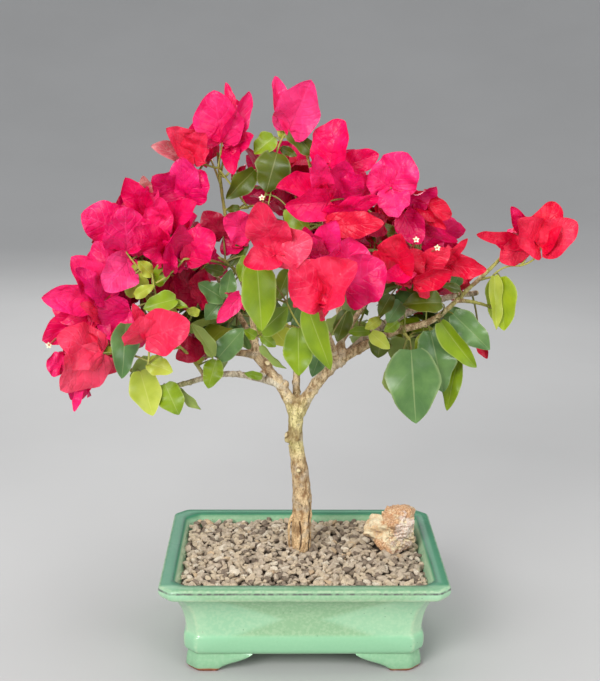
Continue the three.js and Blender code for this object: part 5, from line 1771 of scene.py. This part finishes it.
gravelShape = {
    "rim": 64.4, "backRise": 2.6, "ground": 67, "edge": 13.4, "slope": 30, "heap": 1.8, "step": 11.5,
    "columns": 16, "rows": 12, "bedDrop": 4.2, "spacing": 4.9, "jitter": 0.24, "size": (2.2, 3.6),
    "long": (1.1, 1.7), "wide": (0.85, 1.1), "flat": (0.5, 0.8), "layers": (-3.4, -0.7),
    "rise": (-0.6, 0.6), "ballRows": 5, "ballColumns": 8, "uneven": (0.94, 1.06), "cuts": 9,
    "cutDepth": (0.42, 0.82), "lean": 0.45, "trunk": (-1.2, 10, 8.8), "underStone": (12, 9),
    "roomLeft": 1.6, "cornerLeft": 2,
    "shares": ((0.2, 0.06, 0.7, 0.02, 0.02), (0.36, 0.33, 0.17, 0.1, 0.04)),  # of the tones, in each layer
}


def gravelHeight(x, y):
    # rises evenly from the rim, higher at the back, to the middle ground, less the hollows: places of a
    # grid stand high and low by turns, each shaken by the broken part of a large sine, and every point
    # between takes its share of the four round it
    s = gravelShape
    column, row = (np.arange(-s[key] // 2, s[key] // 2 + 1) for key in ("columns", "rows"))
    wave = np.sin(column[:, None] * 12.9898 + row * 78.233) * 43758.5453
    shake = 0.3 * (wave - np.floor(wave))
    hollow = np.where((column[:, None] + row) % 2 == 0, shake, 1 - shake)
    left, low = (np.clip(np.floor(values / s["step"]).astype(int), -s[key] // 2, s[key] // 2 - 1)
                 for values, key in ((x, "columns"), (y, "rows")))
    across, along = x / s["step"] - left, y / s["step"] - low
    i, j = left + s["columns"] // 2, low + s["rows"] // 2
    near = mix(hollow[i, j], hollow[i + 1, j], across)
    far = mix(hollow[i, j + 1], hollow[i + 1, j + 1], across)
    inward = np.minimum(potShape["halfWidth"] - np.abs(x), potShape["halfDepth"] - np.abs(y)) - s["edge"]
    rim = s["rim"] + s["backRise"] * np.clip(y / (potShape["halfDepth"] - s["edge"]), 0, 1)
    return mix(rim, s["ground"], np.clip(inward / s["slope"], 0, 1)) - s["heap"] * mix(near, far, along)


def makeGrains(places, sizes, rng):
    # a ball cut back to a few random planes, squashed, turned and set in place
    s, count = gravelShape, len(places)
    ball = ballPoints(s["ballRows"], s["ballColumns"])
    points = np.broadcast_to(ball, (count, *ball.shape)) * rng.uniform(*s["uneven"], (count, len(ball), 1))
    for _ in range(s["cuts"]):
        plane = unit(rng.normal(size=(count, 1, 3)))
        depth = rng.uniform(*s["cutDepth"], (count, 1))
        beyond = np.maximum(np.sum(points * plane, axis=2) - depth, 0)
        points = points - plane * beyond[..., None]
    squash = np.stack([rng.uniform(*s[key], count) for key in ("long", "wide", "flat")], axis=1)
    points = points * squash[:, None] * sizes[:, None, None]
    lean = unit(np.column_stack([rng.normal(0, s["lean"], (count, 2)), np.ones(count)]))
    first = unit(np.cross(lean, rng.normal(size=(count, 3))))
    basis = np.stack([first, np.cross(lean, first), lean], axis=1)
    return np.einsum("npk,nkd->npd", points, basis) + places[:, None]


def grainMaterial(name, colour, deep):
    # a plain colour that clouds towards a deeper one, under fine dark grain
    material, tree, shader = newMaterial(name, Roughness=0.88, Specular_IOR_Level=0.25)
    clouds, _ = useGroup(tree, "cloud", Scale=300, Detail=5, Low=0.3, High=0.7)
    fine, raw = useGroup(tree, "cloud", Scale=1500, Detail=3, Low=0.4, High=0.7)
    dress(shader, layered(colour, [(clouds, deep), (fine * 0.3, (92, 80, 70))]), raw, 0.5, 0.0006)
    return material


def grainLayer(layer, drop, stone, rng):
    # a shaken grid of staggered rows, without the places outside the pot, in the trunk and under the stone
    s, step = gravelShape, gravelShape["spacing"]
    row = np.arange(-80, 80, step * 0.87)
    x, y = np.meshgrid(np.arange(-100, 100, step), row)
    x = x + (np.arange(len(row)) % 2)[:, None] * step / 2 + layer * step / 3
    x, y = ((grid + rng.normal(0, s["jitter"] * step, grid.shape)).ravel() for grid in (x, y))
    wide, deep = potShape["halfWidth"] - s["edge"] - np.abs(x), potShape["halfDepth"] - s["edge"] - np.abs(y)
    fits = (np.minimum(wide, deep) > s["roomLeft"]) & (wide + deep - potShape["cant"] > s["cornerLeft"])
    fits = fits & (np.hypot(x - s["trunk"][0], y - s["trunk"][1]) > s["trunk"][2])
    under = (np.abs(x - stone[0]) < s["underStone"][0]) & (np.abs(y - stone[1]) < s["underStone"][1])
    x, y = x[fits & ~under], y[fits & ~under]
    z = gravelHeight(x, y) + drop + rng.uniform(*s["rise"], len(x))
    return np.column_stack([x, y, z]), rng.uniform(*s["size"], len(x))


def makeGravel():
    # single grains in five tones, over a bed that is lower by bedDrop
    s, rng = gravelShape, np.random.default_rng(77)
    stone = np.mean(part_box("accent_stone"), axis=0) / mm
    places, sizes = zip(*[grainLayer(layer, drop, stone, rng) for layer, drop in enumerate(s["layers"])])
    tones = np.concatenate([rng.choice(5, len(some), p=share) for some, share in zip(places, s["shares"])])
    points = makeGrains(np.concatenate(places), np.concatenate(sizes), rng)
    grains = makePart(points, cappedFaces(s["ballRows"] - 1, s["ballColumns"]), tones)
    materials = [
        grainMaterial("grainGrey", (206, 190, 168), (180, 164, 142)),
        grainMaterial("grainBeige", (218, 200, 172), (192, 174, 148)),
        grainMaterial("grainDark", (152, 136, 118), (118, 104, 90)),
        grainMaterial("grainPale", (232, 220, 198), (208, 194, 172)),
        grainMaterial("grainTan", (214, 190, 156), (188, 162, 130)),
    ]
    makePiece("gravel_grains", [grains], materials, smooth=False)
    low, high = s["rim"] - s["bedDrop"], s["ground"] - s["bedDrop"]
    profile = [(25.3, 19.3), (22.9, 32), (20.5, 46), (14.9, 60), (13.4, low), (28, low + 0.6), (44, high)]
    shadow = grainMaterial("gravelShade", (84, 74, 64), (52, 45, 38))
    makePiece("gravel_bed", [closedLoft(profile)], [shadow], ["soil"])


makeGravel()


# Accent stone: a lumpy broken ball of a few lobes, flat underneath, in cream, rust, pale and grey

stoneShape = {
    "rows": 80, "columns": 120, "lump": 0.16, "planes": 22, "planeDepth": (0.84, 0.97), "planeReach": 0.4,
    "sink": 2.0, "buried": 6, "wider": np.array([1.5, 1.0, 2.0]), "warp": 0.34, "blend": 0.1, "meet": 0.06,
    "meetDepth": 0.05, "crevice": 0.07, "creviceDepth": 0.06,
    "lobes": [  # middle, radius, colour
        ((-0.44, -0.2, 0.06), 0.62, "cream"), ((0.28, 0.14, 0.44), 0.62, "rust"),
        ((0.3, -0.34, 0.04), 0.56, "pale"), ((-0.2, -0.34, -0.44), 0.58, "rust"),
        ((0.26, -0.3, -0.44), 0.56, "grey"), ((0.04, 0.32, -0.1), 0.72, "cream"),
        ((0.54, 0.06, 0.04), 0.56, "cream"), ((-0.06, -0.24, 0.26), 0.53, "rust"),
    ],
    "tints": {  # light and dark of the lobes that are not cream
        "rust": ((240, 196, 150), (182, 116, 76)), "pale": ((250, 238, 226), (230, 204, 190)),
        "grey": ((214, 196, 184), (152, 128, 118)),
    },
}


def stoneMaterial():
    # cream stone, and lobes of other colours by their marks, all broken up by noise, with painted shade on
    # the faces that turn downwards, and dark in the crevices
    material, tree, shader = newMaterial("accentStone", Roughness=0.6, Specular_IOR_Level=0.4)
    noise = {"Vector": ownPlace(tree), "Scale": 150, "Detail": 8, "Roughness": 0.72}
    bands = put(tree, "TexNoise", "Fac", noise)
    fine, raw = useGroup(tree, "cloud", Scale=900, Detail=5, Low=0.4, High=0.65)
    swing = (bands - 0.5) * 3.4
    lobes = [((attribute(tree, mark) + swing).ramp(0.3, 0.75) * 0.9, over(light, raw.ramp(0.4, 0.62), dark))
             for mark, (light, dark) in stoneShape["tints"].items()]
    colour = layered((254, 240, 202), [
        (bands.ramp(0.4, 0.62), (234, 196, 146)),
        *lobes,
        # painted shade: darker on the faces that turn downwards
        (facingUp(tree).ramp(0.0, -0.6) * 0.6, (132, 96, 80)),
        (fine * 0.3, (224, 170, 116)),
        (attribute(tree, "crevice").ramp(0.35, 0.95) * 0.75, (128, 76, 50)),
    ])
    dress(shader, colour, bands + raw, 0.8, 0.0018)
    return material


def makeStone():
    # the furthest of a few lobes along each warped ray, cut to random planes, roughened by cloud noise, and
    # sunk in crevices where two lobes meet and where a second noise crosses zero
    rng = np.random.default_rng(41)
    s = stoneShape
    ball = ballPoints(s["rows"], s["columns"])
    shift = np.column_stack([cloudNoise(ball + offset, 0.5, 3, 17) for offset in (2, 13, 29)])
    rays = unit(ball + s["warp"] * shift)
    reach = []
    for place, size, _ in s["lobes"]:
        along = rays @ np.array(place)
        reach.append(along + np.sqrt(np.maximum(along ** 2 - np.dot(place, place) + size ** 2, 0)))
    reach = np.array(reach)
    second, lobed = np.sort(reach, axis=0)[-2:]
    radius = lobed
    for _ in range(s["planes"]):
        plane = unit(rng.normal(size=3))
        facing = ball @ plane
        depth = rng.uniform(*s["planeDepth"])
        flat = lobed[np.argmax(facing)] * depth / np.maximum(facing, s["planeReach"])
        radius = np.where(facing > s["planeReach"], np.minimum(radius, flat), radius)
    radius = radius * (1 + s["lump"] * cloudNoise(ball + 5, 0.42, 4, 3))
    meet = np.exp(-((lobed - second) / s["meet"]) ** 2)
    crevice = np.exp(-(cloudNoise(ball + 9, 0.5, 4, 12) / s["crevice"]) ** 2)
    radius = radius - s["meetDepth"] * meet - s["creviceDepth"] * crevice
    weight = np.exp((reach - lobed) / s["blend"])
    weight = weight / weight.sum(axis=0)
    kinds = np.array([kind for _, _, kind in s["lobes"]])
    marks = {kind: weight[kinds == kind].sum(axis=0) for kind in s["tints"]}
    marks["crevice"] = np.maximum(0.6 * meet, 0.8 * crevice)
    points = ball * radius[:, None]
    low, high = (np.array(corner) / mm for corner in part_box("accent_stone"))
    low, high = low - s["wider"] * (1, 1, 0), high + s["wider"]
    buried = s["buried"] * upright
    points = (points - points.min(0)) / np.ptp(points, axis=0) * (high - low + buried) + low - buried
    points[:, 2] = np.maximum(points[:, 2], low[2] - s["sink"])
    part = makePart(points[None], cappedFaces(s["rows"] - 1, s["columns"]), 0)
    makePiece("stone_rough", [part], [stoneMaterial()], ["accent_stone"], marks=marks)


makeStone()


# Lights and floor

lightPlan = {  # place, size, watts
    "keyLight": ((-0.7, -1.2, 1.0), 0.8, 21),
    "fillLight": ((1.0, -1.1, 0.6), 0.8, 8),
    "topLight": ((0.0, 0.1, 1.5), 1.0, 7),
    "backLight": ((-0.2, 1.3, 0.9), 0.9, 6),
}
roomPlan = {  # metres, degrees
    "aim": (0, 0, 0.22), "colour": (0.92, 0.95, 1.0, 1), "strength": 0.58,
    "flat": 1.4, "sweep": 3.0, "rise": 62, "flatRings": 12, "sweepRings": 16, "around": 96, "drop": 0.0002,
}


def placeLights():
    # area lights aimed at the crown, and an even room
    for name, (place, size, watts) in lightPlan.items():
        data = bpy.data.lights.new(name, "AREA")
        data.size = size
        data.energy = watts
        towards = unit(np.array(place) - roomPlan["aim"])
        side = unit(np.cross(upright, towards))
        matrix = np.eye(4)
        matrix[:3] = np.column_stack([side, np.cross(towards, side), towards, place])
        linked(name, data).matrix_world = Matrix(matrix.tolist())
    world = bpy.data.worlds.new("softRoom")
    world.use_nodes = True
    room = world.node_tree.nodes["Background"].inputs
    room["Color"].default_value = roomPlan["colour"]
    room["Strength"].default_value = roomPlan["strength"]
    bpy.context.scene.world = world


def placeFloor():
    # a level disc whose rim sweeps up in an arc: radius and angle are the two parameters
    s = roomPlan
    rise = np.radians(np.linspace(0, s["rise"], s["sweepRings"] + 1))[1:]
    level = np.linspace(0.0005, s["flat"], s["flatRings"])
    radius = np.concatenate([level, s["flat"] + s["sweep"] * np.sin(rise)])
    height = np.concatenate([np.zeros(s["flatRings"]), s["sweep"] * (1 - np.cos(rise))])
    angle = np.arange(s["around"]) * 2 * np.pi / s["around"]
    radius, height = radius[:, None], height[:, None] - s["drop"]
    points = np.stack(np.broadcast_arrays(radius * np.cos(angle), radius * np.sin(angle), height), axis=-1)
    mesh = newMesh("floor", points.reshape(-1, 3), loftFaces(len(radius), s["around"])[:, ::-1])
    mesh.polygons.foreach_set("use_smooth", np.ones(len(mesh.polygons), bool))
    material, tree, shader = newMaterial("paleFloor", Roughness=0.9, Specular_IOR_Level=0.2)
    clouds, _ = useGroup(tree, "cloud", Scale=3, Detail=3, Low=0.2, High=0.8)
    feed(shader.inputs["Base Color"], over((0.47, 0.465, 0.455, 1), clouds, (0.5, 0.495, 0.485, 1)))
    mesh.materials.append(material)
    floor = linked("floor", mesh)


placeLights()
placeFloor()
bpy.context.scene.view_settings.view_transform = "Standard"
print("camera, lights and floor placed")
